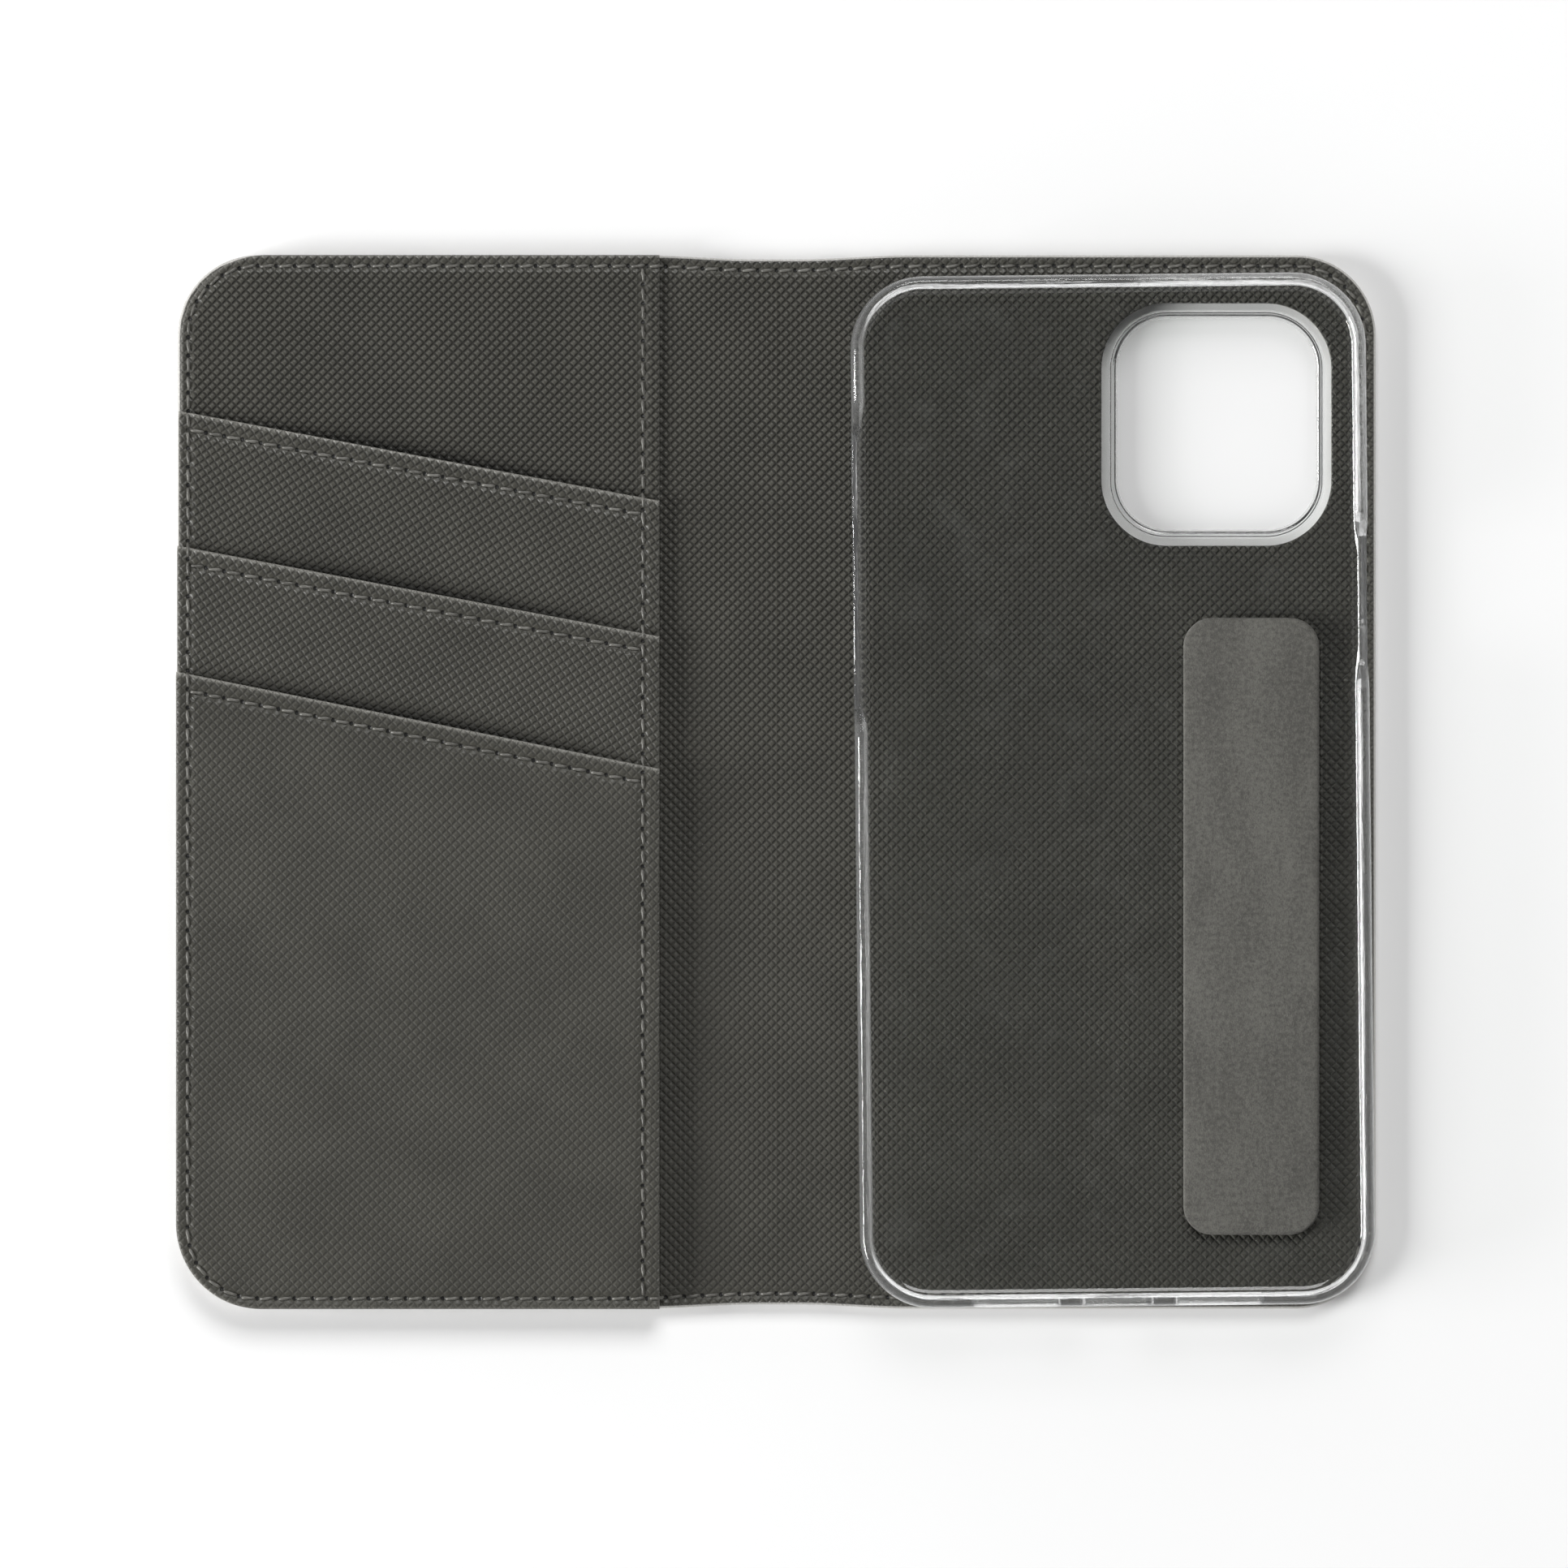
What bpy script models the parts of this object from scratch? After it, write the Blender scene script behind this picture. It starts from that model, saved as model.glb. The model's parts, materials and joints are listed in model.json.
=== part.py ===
# Folio case for a phone, with card pockets, lying open and flat.
# The front cover with its pockets is on the left, the spine in the middle and the back cover with
# the clear phone tray on the right. The outer skins lie on z = 0 and the pockets and tray face up.
# Lengths are in metres, +Z is up, +Y runs to the top of the phone.

import math

import bmesh
import bpy
import numpy as np

# The phone it holds
phoneLength = 0.1467
phoneWidth = 0.0715
phoneThick = 0.0074
phoneCorner = 0.0090
endSlack = 0.00015           # phone to the tray, at each end
sideSlack = 0.0004           # at each side
frontSlack = 0.0003          # under the lip

# Covers and spine
topMargin = 0.0031           # tray to the cover's top edge
bottomMargin = 0.0007        # tray to the cover's bottom edge
freeMargin = 0.00115         # tray to the free edge
foldMargin = 0.00285         # tray to the fold axis beside it
cornerRadius = 0.0116        # free corners of both covers
spineShort = 0.0006          # the spine is this much shorter than a cover at each end
foldHalfGap = 0.0016         # board-free leather each side of a fold axis
closingRoom = 0.00056        # pockets to tray when the case is shut

# Thicknesses
skinThick = 0.0006           # printed outer skin
boardThick = 0.0010          # stiffening board
linerThick = 0.0006          # embossed liner
panelThick = 0.0004          # each pocket panel
foldThick = 0.0012           # skin and liner glued together at a fold

# Clearances and edges
gap = 0.0003                 # between pieces that rest on one another
linerInset = 0.0003          # the liner is cut this much inside the skin
seamRim = 0.0023             # skin turned up round the board at a stitched edge
foldRim = 0.0010             # skin turned up round the board at a fold
windowRim = 0.0016           # skin turned up round the camera window
edgeEase = 0.0002            # eased edges of skins and boards
squareCorner = 0.0004        # corners beside a fold

# Phone tray
trayTurn = math.radians(0.6)  # the tray is bonded on slightly askew
trayFloor = 0.0010
trayWall = 0.0011
trayLip = 0.0008             # how far the lip reaches in over the phone
lipThick = 0.0008
filmThick = 0.0003           # adhesive film under the tray
filmInset = 0.0040

# Camera window, measured from the tray's upper and free sides
windowFromTop = 0.0039
windowFromSide = 0.0053
windowWidth = 0.0334
windowHeight = 0.0352
windowCorner = 0.0095
collarGap = 0.0010           # leather to the tray's collar
collarWall = 0.00125         # collar that lines the window
collarFoot = 0.0006          # bottom of the collar above z = 0

# Suede strip between the camera window and the foot of the tray, and the closure under it
stripHead = 0.0105           # window to strip
stripFoot = 0.0101           # strip to the tray's bottom end
stripFromSide = 0.00715
stripWidth = 0.0197
stripCorner = 0.0042
stripThick = 0.0010
stripSlack = 0.0004          # strip to the tray floor round it
plateInset = 0.0010          # steel plate inside the strip's outline
plateThick = 0.0005
magnetWidth = 0.0120
magnetLength = 0.0240
magnetSpacing = 0.0400

# Notches for the keys: from and to at the sill, down from the tray's top end, then the slope of
# the upper and the lower end
volumeNotch = (0.0240, 0.0618, 0.0062, 0.0035)
powerNotch = (0.0388, 0.0564, 0.0036, 0.0036)
notchSill = 0.0016           # wall left above the floor in a notch

# Slots in the tray's bottom wall: centre, width, height
portSlot = (0.0000, 0.0110, 0.0052)
speakerSlot = (0.0147, 0.0132, 0.0030)
microphoneSlot = (-0.0147, 0.0132, 0.0030)

# Pockets on the front cover
mouthMargin = 0.0085         # fold axis to the folded edge of all four panels
slotRises = {                # slot edges above the cover's bottom edge: at the free edge, at the mouth
    "upper": (0.1304, 0.1173),
    "middle": (0.1108, 0.0976),
    "lower": (0.0925, 0.0784),
}

# Stitching
seamInset = 0.0016           # perimeter seam from the edge
hemInset = 0.0024            # hem seam below a slot edge
mouthInset = 0.0024          # side seam from the pocket mouth
stitchPitch = 0.0027
threadWide = 0.00050
threadNarrow = 0.00032
threadHigh = 0.00034
threadLow = 0.00020
linerGroove = 0.0003
panelGroove = 0.0002
seamEnd = 0.0005             # a seam stops this far from a fold edge

# Levels, from the skins' underside up
boardLow = skinThick + gap
boardHigh = boardLow + boardThick
linerLow = boardHigh + gap
coverThick = linerLow + linerThick
axisHeight = coverThick / 2
panelLow = [coverThick + gap + i * (panelThick + gap) for i in range(len(slotRises) + 1)]
panelTop = [z + panelThick for z in panelLow]
pocketTop = panelTop[-1] - panelGroove + gap + threadHigh
filmLow = coverThick + gap
trayLow = filmLow + filmThick + gap
floorTop = trayLow + trayFloor
trayDepth = phoneThick + frontSlack
trayTop = floorTop + trayDepth + lipThick

# Plan, from the middle of the spine
foldSpan = trayTop + pocketTop - coverThick + closingRoom
foldX = foldSpan / 2
trayWidth = phoneWidth + 2 * (sideSlack + trayWall)
trayLength = phoneLength + 2 * (endSlack + trayWall)
trayCorner = phoneCorner + sideSlack + trayWall
halfWidth = foldX + foldMargin + trayWidth + freeMargin
halfHeight = (bottomMargin + trayLength + topMargin) / 2
halfSpine = halfHeight - spineShort
coverEdge = foldX + foldHalfGap
spineEdge = foldX - foldHalfGap
trayCentre = (foldX + foldMargin + trayWidth / 2, (bottomMargin - topMargin) / 2)
traySide = trayCentre[0] + trayWidth / 2
trayHead = trayCentre[1] + trayLength / 2
trayEnd = trayCentre[1] - trayLength / 2
windowCentre = (traySide - windowFromSide - windowWidth / 2,
                trayHead - windowFromTop - windowHeight / 2)
stripTop = windowCentre[1] - windowHeight / 2 - stripHead
stripLength = stripTop - trayEnd - stripFoot
stripCentre = (traySide - stripFromSide - stripWidth / 2, stripTop - stripLength / 2)
pocketMouth = -foldX - mouthMargin
farPast = 0.004              # how far a cutter runs past what it cuts

palette = {
    "outer_skin": ((0.80, 0.79, 0.77, 1), 0.55, 0),
    "board": ((0.42, 0.36, 0.28, 1), 0.85, 0),
    "liner": ((0.055, 0.053, 0.047, 1), 0.6, 0),
    "clear_plastic": ((0.86, 0.88, 0.90, 0.35), 0.08, 0),
    "adhesive": ((0.82, 0.82, 0.80, 0.5), 0.4, 0),
    "suede": ((0.125, 0.120, 0.108, 1), 0.95, 0),
    "thread": ((0.06, 0.058, 0.052, 1), 0.7, 0),
    "steel": ((0.55, 0.55, 0.55, 1), 0.35, 1),
    "magnet": ((0.45, 0.45, 0.46, 1), 0.3, 1),
}


def material(slot):
    found = bpy.data.materials.get(slot)
    if found:
        return found
    colour, roughness, metallic = palette[slot]
    made = bpy.data.materials.new(slot)
    made.use_nodes = True
    shader = made.node_tree.nodes["Principled BSDF"]
    shader.inputs["Base Color"].default_value = (*colour[:3], 1)
    shader.inputs["Alpha"].default_value = colour[3]
    shader.inputs["Roughness"].default_value = roughness
    shader.inputs["Metallic"].default_value = metallic
    return made


def solid(name, rings, slot=None):
    """Skin a list of rings of points and cap both ends."""
    rings = [np.asarray(r, float) for r in rings]
    count = len(rings[0])
    faces = []
    for low in range(len(rings) - 1):
        for k in range(count):
            n = (k + 1) % count
            faces.append((low * count + k, low * count + n,
                          (low + 1) * count + n, (low + 1) * count + k))
    faces.append(tuple(reversed(range(count))))
    faces.append(tuple((len(rings) - 1) * count + k for k in range(count)))
    mesh = bpy.data.meshes.new(name)
    mesh.from_pydata(np.vstack(rings).tolist(), [], faces)
    shell = bmesh.new()
    shell.from_mesh(mesh)
    bmesh.ops.recalc_face_normals(shell, faces=shell.faces)
    shell.to_mesh(mesh)
    shell.free()
    mesh.update()
    made = bpy.data.objects.new(name, mesh)
    bpy.context.scene.collection.objects.link(made)
    if slot:
        mesh.materials.append(material(slot))
    return made


def roundedOutline(x0, x1, y0, y1, radii, inset=0.0, steps=9):
    """Anticlockwise outline; radii are for the lower left, lower right, upper right, upper left."""
    corners = [(x0, y0, 1, 1, math.pi), (x1, y0, -1, 1, 1.5 * math.pi),
               (x1, y1, -1, -1, 0.0), (x0, y1, 1, -1, 0.5 * math.pi)]
    points = []
    for (x, y, sx, sy, start), radius in zip(corners, radii):
        turn = max(radius - inset, 0.00005) if radius else 0.0
        cx, cy = x + sx * (turn + inset), y + sy * (turn + inset)
        if not radius:
            points.append((cx, cy))
            continue
        parts = steps if radius > 0.001 else 2
        for k in range(parts + 1):
            angle = start + 0.5 * math.pi * k / parts
            points.append((cx + turn * math.cos(angle), cy + turn * math.sin(angle)))
    return np.array(points)


def atHeight(points, z):
    return np.column_stack([points, np.full(len(points), z)])


def plate(name, box, radii, z0, z1, slot=None, ease=0.0):
    """Flat plate on a rounded outline, with its long edges eased."""
    def ring(inset, z):
        return atHeight(roundedOutline(*box, radii, inset), z)
    rings = [ring(0, z0), ring(0, z1)]
    if ease:
        rings = [ring(ease, z0), ring(0, z0 + ease), ring(0, z1 - ease), ring(ease, z1)]
    return solid(name, rings, slot)


def boxAround(centre, width, height, grow=0.0):
    return (centre[0] - width / 2 - grow, centre[0] + width / 2 + grow,
            centre[1] - height / 2 - grow, centre[1] + height / 2 + grow)


def shrink(box, left, right, ends):
    return (box[0] + left, box[1] - right, box[2] + ends, box[3] - ends)


def apply(target, tool, operation):
    """Boolean of one solid with a hidden tool."""
    tool.hide_render = True
    tool.display_type = "WIRE"
    step = target.modifiers.new(operation.lower(), "BOOLEAN")
    step.operation = operation
    step.solver = "EXACT"
    step.object = tool
    return target


def cut(target, tool):
    return apply(target, tool, "DIFFERENCE")


def add(target, tool):
    return apply(target, tool, "UNION")


def sideways(path):
    """Unit normals to a path in the plane, at its points."""
    along = np.gradient(path, axis=0)
    along /= np.linalg.norm(along, axis=1)[:, None]
    return np.column_stack([-along[:, 1], along[:, 0]])


def swept(name, path, width, low, high, slot=None, topShare=1.0):
    """Bar along a path. width, low and high may vary along it; the top is topShare as wide."""
    path = np.asarray(path, float)
    side = sideways(path)
    width, low, high = (np.broadcast_to(v, len(path)) for v in (width, low, high))
    rings = []
    for p, s, w, z0, z1 in zip(path, side, width, low, high):
        rings.append([(*(p - s * w / 2), z0), (*(p - s * w / 2 * topShare), z1),
                      (*(p + s * w / 2 * topShare), z1), (*(p + s * w / 2), z0)])
    return solid(name, rings, slot)


def resample(path, count):
    """The same path as count points, evenly spaced along it."""
    path = np.asarray(path, float)
    length = np.concatenate([[0], np.cumsum(np.linalg.norm(np.diff(path, axis=0), axis=1))])
    even = np.linspace(0, length[-1], count)
    return np.column_stack([np.interp(even, length, path[:, k]) for k in (0, 1)]), length[-1]


def seamPath(side, inset):
    """Perimeter seam of one cover, from fold edge to fold edge. side is -1 front, 1 back."""
    right = halfWidth - inset
    top = halfHeight - inset
    turn = cornerRadius - inset
    points = [(coverEdge - farPast, -top)]
    for cx, cy, start in ((right - turn, -top + turn, 1.5), (right - turn, top - turn, 0.0)):
        for k in range(17):
            angle = math.pi * (start + 0.5 * k / 16)
            points.append((cx + turn * math.cos(angle), cy + turn * math.sin(angle)))
    points.append((coverEdge - farPast, top))
    return np.array(points) * (side, 1)


def trimmed(path, side):
    """A perimeter seam cut back to just inside its fold edge."""
    points = path.copy()
    points[[0, -1], 0] = side * (coverEdge + seamEnd)
    return points


def slotEdge(name, x):
    """Height of a slot edge at x."""
    free, mouth = slotRises[name]
    share = (x + halfWidth) / (pocketMouth + halfWidth)
    return free + (mouth - free) * share - halfHeight


def topPanel(x, y):
    """Index of the panel that lies uppermost at a point of the front cover, or -1 for the liner."""
    if x > pocketMouth:
        return -1
    index = 0
    for level, name in enumerate(slotRises):
        if y < slotEdge(name, x):
            index = level + 1
    return index


def seatHeight(x, y, side):
    """Height of a thread's underside at a point."""
    panel = topPanel(x, y) if side < 0 else -1
    if panel < 0:
        return coverThick - linerGroove + gap
    return panelTop[panel] - panelGroove + gap


def seatAlong(path, side):
    """A thread's underside along a path: it rises before each step and falls after it."""
    seats = []
    for x, y in path:
        near = [(x + dx, y + dy) for dx in (-0.0017, 0, 0.0017) for dy in (-0.0017, 0, 0.0017)]
        seats.append(max(seatHeight(*p, side) for p in near))
    seats = np.array(seats)
    padded = np.concatenate([seats[:1], seats, seats[-1:]])
    return (padded[:-2] + padded[1:-1] + padded[2:]) / 3


def thread(name, path, side):
    """One seam: a continuous thread that narrows and dips at each needle hole."""
    length = resample(path, 2)[1]
    stitches = max(2, round(length / stitchPitch))
    points = resample(path, stitches * 3 + 1)[0]
    hole = np.arange(len(points)) % 3 == 0
    seat = seatAlong(points, side)
    width = np.where(hole, threadNarrow, threadWide)
    height = np.where(hole, threadLow, threadHigh)
    return swept(name, points, width, seat, seat + height, "thread", 0.6)


def groove(target, name, path, surface, depth):
    """Shallow channel for a seam, wide enough to clear the thread."""
    cut(target, swept(name, path, threadWide + 2 * gap, surface - depth, surface + farPast))


def buildCover(label, side):
    """Skin, board and liner of one cover. side is -1 front, 1 back."""
    def along(box, radii):
        if side > 0:
            return box, radii
        x0, x1, y0, y1 = box
        return (-x1, -x0, y0, y1), (radii[1], radii[0], radii[3], radii[2])

    box = (coverEdge, halfWidth, -halfHeight, halfHeight)
    outer = (squareCorner, cornerRadius, cornerRadius, squareCorner)
    skin = plate(label + "_skin", *along(box, outer), 0, boardHigh, "outer_skin", edgeEase)
    cavityBox = shrink(box, foldRim, seamRim, seamRim)
    cavityCorner = cornerRadius - seamRim
    cavityRadii = (squareCorner, cavityCorner, cavityCorner, squareCorner)
    cut(skin, plate(label + "_board_recess", *along(cavityBox, cavityRadii), skinThick,
                    boardHigh + farPast))
    boardBox = shrink(cavityBox, gap, gap, gap)
    boardRadii = (squareCorner, cavityCorner - gap, cavityCorner - gap, squareCorner)
    board = plate(label + "_board", *along(boardBox, boardRadii), boardLow, boardHigh, "board",
                  edgeEase)
    linerBox = shrink(box, 0, linerInset, linerInset)
    linerRadii = (squareCorner, cornerRadius - linerInset, cornerRadius - linerInset, squareCorner)
    liner = plate(label + "_liner", *along(linerBox, linerRadii), linerLow, coverThick, "liner")
    return skin, board, liner


def windowTool(name, grow, z0, z1):
    box = boxAround(windowCentre, windowWidth, windowHeight, grow)
    return plate(name, box, [windowCorner + grow] * 4, z0, z1)


def turned(points):
    """Place tray coordinates, measured from the tray's centre, on the back cover."""
    c, s = math.cos(trayTurn), math.sin(trayTurn)
    x, y = points[:, 0], points[:, 1]
    out = points.copy()
    out[:, 0] = trayCentre[0] + c * x - s * y
    out[:, 1] = trayCentre[1] + s * x + c * y
    return out


def buildTray():
    """Clear tray: a floor, a wall that bellies out a little, and a lip that holds the phone."""
    half = (trayWidth / 2, trayLength / 2)

    def ring(inset, z):
        outline = roundedOutline(-half[0], half[0], -half[1], half[1], [trayCorner] * 4, inset, 10)
        return turned(atHeight(outline, z))

    lipLow = floorTop + trayDepth
    outside = [(0.0016, 0), (0.0008, 0.0004), (0.0002, 0.0013), (0, 0.0028)]
    rings = [ring(inset, trayLow + rise) for inset, rise in outside]
    rings += [ring(0, lipLow - 0.0010), ring(0.0002, lipLow), ring(0.0008, trayTop - 0.0001),
              ring(0.0012, trayTop)]
    mouth = trayWall + trayLip
    rings += [ring(mouth - 0.0002, trayTop), ring(mouth, trayTop - 0.0002), ring(mouth, lipLow),
              ring(trayWall, lipLow - 0.0008), ring(trayWall, floorTop + 0.0016),
              ring(trayWall + 0.0004, floorTop + 0.0005), ring(trayWall + 0.0012, floorTop)]
    tray = solid("phone_tray", rings, "clear_plastic")

    def notch(name, span, wallSide):
        upper, lower, highSlope, lowSlope = span
        low, high = half[1] - lower, half[1] - upper
        sill = floorTop + notchSill
        top = trayTop + farPast
        reach = (top - sill) / (trayTop - sill)
        profile = [(low, sill), (high, sill), (high + highSlope * reach, top),
                   (low - lowSlope * reach, top)]
        inner = wallSide * (half[0] - trayWall - trayLip - 0.0006)
        outer = wallSide * (half[0] + farPast)
        ends = sorted((inner, outer))
        rings = [turned(np.array([(x, y, z) for y, z in profile])) for x in ends]
        cut(tray, solid(name, rings))

    def slot(name, size):
        centre, width, height = size
        middle = floorTop + trayDepth / 2
        outline = roundedOutline(centre - width / 2, centre + width / 2, middle - height / 2,
                                 middle + height / 2, [height / 2 - 0.00001] * 4, 0, 6)
        ends = (-half[1] - farPast, -half[1] + trayWall + trayLip + 0.0006)
        rings = [turned(np.array([(x, y, z) for x, z in outline])) for y in reversed(ends)]
        cut(tray, solid(name, rings))

    notch("volume_notch", volumeNotch, -1)
    notch("power_notch", powerNotch, 1)
    slot("port_slot", portSlot)
    slot("speaker_slot", speakerSlot)
    slot("microphone_slot", microphoneSlot)
    add(tray, windowTool("collar_block", -collarGap, collarFoot, trayLow + trayFloor / 2))
    cut(tray, windowTool("collar_bore", -collarGap - collarWall, 0 - farPast, floorTop + farPast))
    stripBox = boxAround(stripCentre, stripWidth, stripLength, stripSlack)
    cut(tray, plate("strip_recess", stripBox, [stripCorner + stripSlack] * 4, trayLow - farPast,
                    floorTop + 0.001))
    return tray


def buildBack():
    skin, board, liner = buildCover("back", 1)
    add(skin, windowTool("window_rim", windowRim, skinThick / 2, boardHigh))
    cut(skin, windowTool("skin_window", 0, -farPast, boardHigh + farPast))
    cut(board, windowTool("board_window", windowRim + gap, -farPast, coverThick + farPast))
    cut(liner, windowTool("liner_window", 0, -farPast, coverThick + farPast))
    path = seamPath(1, seamInset)
    groove(liner, "back_seam_groove", path, coverThick, linerGroove)
    seam = thread("back_edge_thread", trimmed(path, 1), 1)

    filmBox = boxAround(trayCentre, trayWidth, trayLength, -filmInset)
    film = plate("tray_bond_film", filmBox, [trayCorner - filmInset] * 4, filmLow,
                 filmLow + filmThick, "adhesive")
    cut(film, windowTool("film_window", 0.0010, -farPast, floorTop))
    stripHole = boxAround(stripCentre, stripWidth, stripLength, 2 * stripSlack)
    cut(film, plate("film_strip_hole", stripHole, [stripCorner] * 4, -farPast, floorTop))
    plateBox = boxAround(stripCentre, stripWidth, stripLength, -plateInset)
    steel = plate("closure_plate", plateBox, [stripCorner - plateInset] * 4, filmLow,
                  filmLow + plateThick, "steel")
    stripLow = filmLow + plateThick + gap
    strip = plate("suede_strip", boxAround(stripCentre, stripWidth, stripLength),
                  [stripCorner] * 4, stripLow, stripLow + stripThick, "suede", edgeEase)
    return [skin, board, liner, seam, film, steel, strip, buildTray()]


def buildSpine():
    box = (-spineEdge, spineEdge, -halfSpine, halfSpine)
    corners = [squareCorner] * 4
    skin = plate("spine_skin", box, corners, 0, boardHigh, "outer_skin", edgeEase)
    cavity = shrink(box, foldRim, foldRim, seamRim)
    cut(skin, plate("spine_board_recess", cavity, corners, skinThick, boardHigh + farPast))
    board = plate("spine_board", shrink(cavity, gap, gap, gap), corners, boardLow, boardHigh,
                  "board", edgeEase)
    liner = plate("spine_liner", shrink(box, 0, 0, linerInset), corners, linerLow, coverThick,
                  "liner")
    pieces = [skin, board, liner]
    for label, way in (("top", 1), ("bottom", -1)):
        y = way * (halfSpine - seamInset)
        reach = spineEdge + farPast / 2
        groove(liner, "spine_" + label + "_groove", [(-reach, y), (reach, y)], coverThick,
               linerGroove)
        ends = [(-spineEdge + seamEnd, y), (spineEdge - seamEnd, y)]
        pieces.append(thread("spine_" + label + "_thread", ends, 1))
    for label, way in (("front", -1), ("back", 1)):
        strip = (way * foldX - foldHalfGap + gap, way * foldX + foldHalfGap - gap,
                 -halfSpine, halfSpine)
        pieces.append(plate(label + "_fold_strip", strip, corners, axisHeight - foldThick / 2,
                            axisHeight + foldThick / 2, "liner", edgeEase))
    return pieces


def panelRing(edge, z):
    """Outline of a pocket panel whose upper edge is a slot line, or the cover's edge if None."""
    x0, y0, y1 = -halfWidth + linerInset, -halfHeight + linerInset, halfHeight - linerInset
    turn = cornerRadius - linerInset
    box = (x0, pocketMouth, y0, y1)
    whole = roundedOutline(*box, (turn, 0, turn, 0) if edge else (turn, 0, 0, turn))
    if edge:
        lowerCorner = roundedOutline(*box, (turn, 0, 0, 0))[:-2]
        upper = [(pocketMouth, slotEdge(edge, pocketMouth)), (x0, slotEdge(edge, x0))]
        whole = np.vstack([lowerCorner, upper])
    return atHeight(whole, z)


def buildFront():
    skin, board, liner = buildCover("front", -1)
    pieces = [skin, board, liner]
    magnetX = -stripCentre[0]
    for label, way in (("upper", 1), ("lower", -1)):
        centre = (magnetX, stripCentre[1] + way * magnetSpacing / 2)
        cut(board, plate(label + "_magnet_hole", boxAround(centre, magnetWidth, magnetLength, gap),
                         [0.001] * 4, -farPast, coverThick + farPast))
        pieces.append(plate(label + "_magnet", boxAround(centre, magnetWidth, magnetLength),
                            [0.0008] * 4, boardLow, boardHigh, "magnet"))

    path = seamPath(-1, seamInset)
    groove(liner, "front_liner_groove_low", [(pocketMouth - 0.002, path[0][1]), path[0]],
           coverThick, linerGroove)
    groove(liner, "front_liner_groove_high", [(pocketMouth - 0.002, path[-1][1]), path[-1]],
           coverThick, linerGroove)
    pieces.append(thread("front_edge_thread", trimmed(path, -1), -1))

    mouthX = pocketMouth - mouthInset
    seamY = halfHeight - seamInset
    clear = threadWide + gap
    names = ["slip_pocket_panel"] + [n + "_card_pocket" for n in slotRises]
    for level, (name, edge) in enumerate(zip(names, [None] + list(slotRises))):
        rings = [panelRing(edge, panelLow[level]), panelRing(edge, panelTop[level])]
        panel = solid(name, rings, "liner")
        groove(panel, name + "_edge_groove", path, panelTop[level], panelGroove)
        groove(panel, name + "_side_groove", [(mouthX, -seamY), (mouthX, seamY)],
               panelTop[level], panelGroove)
        pieces.append(panel)
        if not edge:
            continue
        x0, x1 = -halfWidth + seamInset, mouthX
        line = [(x, slotEdge(edge, x) - hemInset) for x in (x0, x1)]
        groove(panel, name + "_hem_groove", line, panelTop[level], panelGroove)
        ends = [(x, slotEdge(edge, x) - hemInset) for x in (x0 + clear, x1 - clear)]
        pieces.append(thread(edge + "_hem_thread", ends, -1))
    side = [(mouthX, -seamY + clear), (mouthX, seamY - clear)]
    pieces.append(thread("pocket_side_thread", side, -1))
    return pieces


def pivot(name, x, parent=None):
    """Empty on a fold axis, which carries what turns about it."""
    made = bpy.data.objects.new(name, None)
    made.location = (x, 0, axisHeight)
    made.empty_display_size = 0.01
    bpy.context.scene.collection.objects.link(made)
    bpy.context.view_layer.update()
    if parent:
        carry(parent, [made])
    return made


def carry(parent, pieces):
    """Parent pieces, and the tools that cut them, to a pivot without moving them."""
    bpy.context.view_layer.update()
    for piece in pieces:
        tools = [m.object for m in getattr(piece, "modifiers", [])]
        for thing in [piece] + tools:
            thing.parent = parent
            thing.matrix_parent_inverse = parent.matrix_world.inverted()


for old in list(bpy.data.objects):
    bpy.data.objects.remove(old, do_unlink=True)

buildBack()
spineAxis = pivot("spine_fold_axis", foldX)
carry(spineAxis, buildSpine())
frontAxis = pivot("front_fold_axis", -foldX, spineAxis)
carry(frontAxis, buildFront())
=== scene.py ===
# Phone wallet case, lying wide open on a pale table.
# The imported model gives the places; the leather, stitching, clear tray and suede are made here.
# Plan coordinates: X to the right across the open case, Y towards the phone's top, Z up.
import json
import math

import bmesh
import bpy
import mathutils
import numpy as np
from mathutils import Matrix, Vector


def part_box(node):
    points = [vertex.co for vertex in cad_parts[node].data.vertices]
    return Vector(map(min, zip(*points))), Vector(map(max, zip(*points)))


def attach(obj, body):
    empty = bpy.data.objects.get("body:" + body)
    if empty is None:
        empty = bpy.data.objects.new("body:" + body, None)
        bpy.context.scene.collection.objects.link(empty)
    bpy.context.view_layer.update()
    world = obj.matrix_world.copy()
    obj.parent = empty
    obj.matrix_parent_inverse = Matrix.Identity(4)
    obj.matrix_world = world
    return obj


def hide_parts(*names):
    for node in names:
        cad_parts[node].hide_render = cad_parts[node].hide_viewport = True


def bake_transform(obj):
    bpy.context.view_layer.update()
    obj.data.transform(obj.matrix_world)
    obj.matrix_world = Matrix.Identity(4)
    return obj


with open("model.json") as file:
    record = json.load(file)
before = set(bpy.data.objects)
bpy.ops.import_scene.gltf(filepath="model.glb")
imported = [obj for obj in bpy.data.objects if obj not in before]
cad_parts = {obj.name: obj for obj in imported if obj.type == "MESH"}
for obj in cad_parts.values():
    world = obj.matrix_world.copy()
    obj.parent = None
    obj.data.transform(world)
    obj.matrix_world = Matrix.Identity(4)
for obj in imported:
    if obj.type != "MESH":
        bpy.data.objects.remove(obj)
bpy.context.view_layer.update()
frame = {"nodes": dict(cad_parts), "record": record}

mm = 0.001  # lengths below are in millimetres until they become a mesh


# ---- the frame, read once ----

def span(node):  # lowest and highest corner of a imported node, in millimetres
    low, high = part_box(node)
    return np.array(low) / mm, np.array(high) / mm


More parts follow.
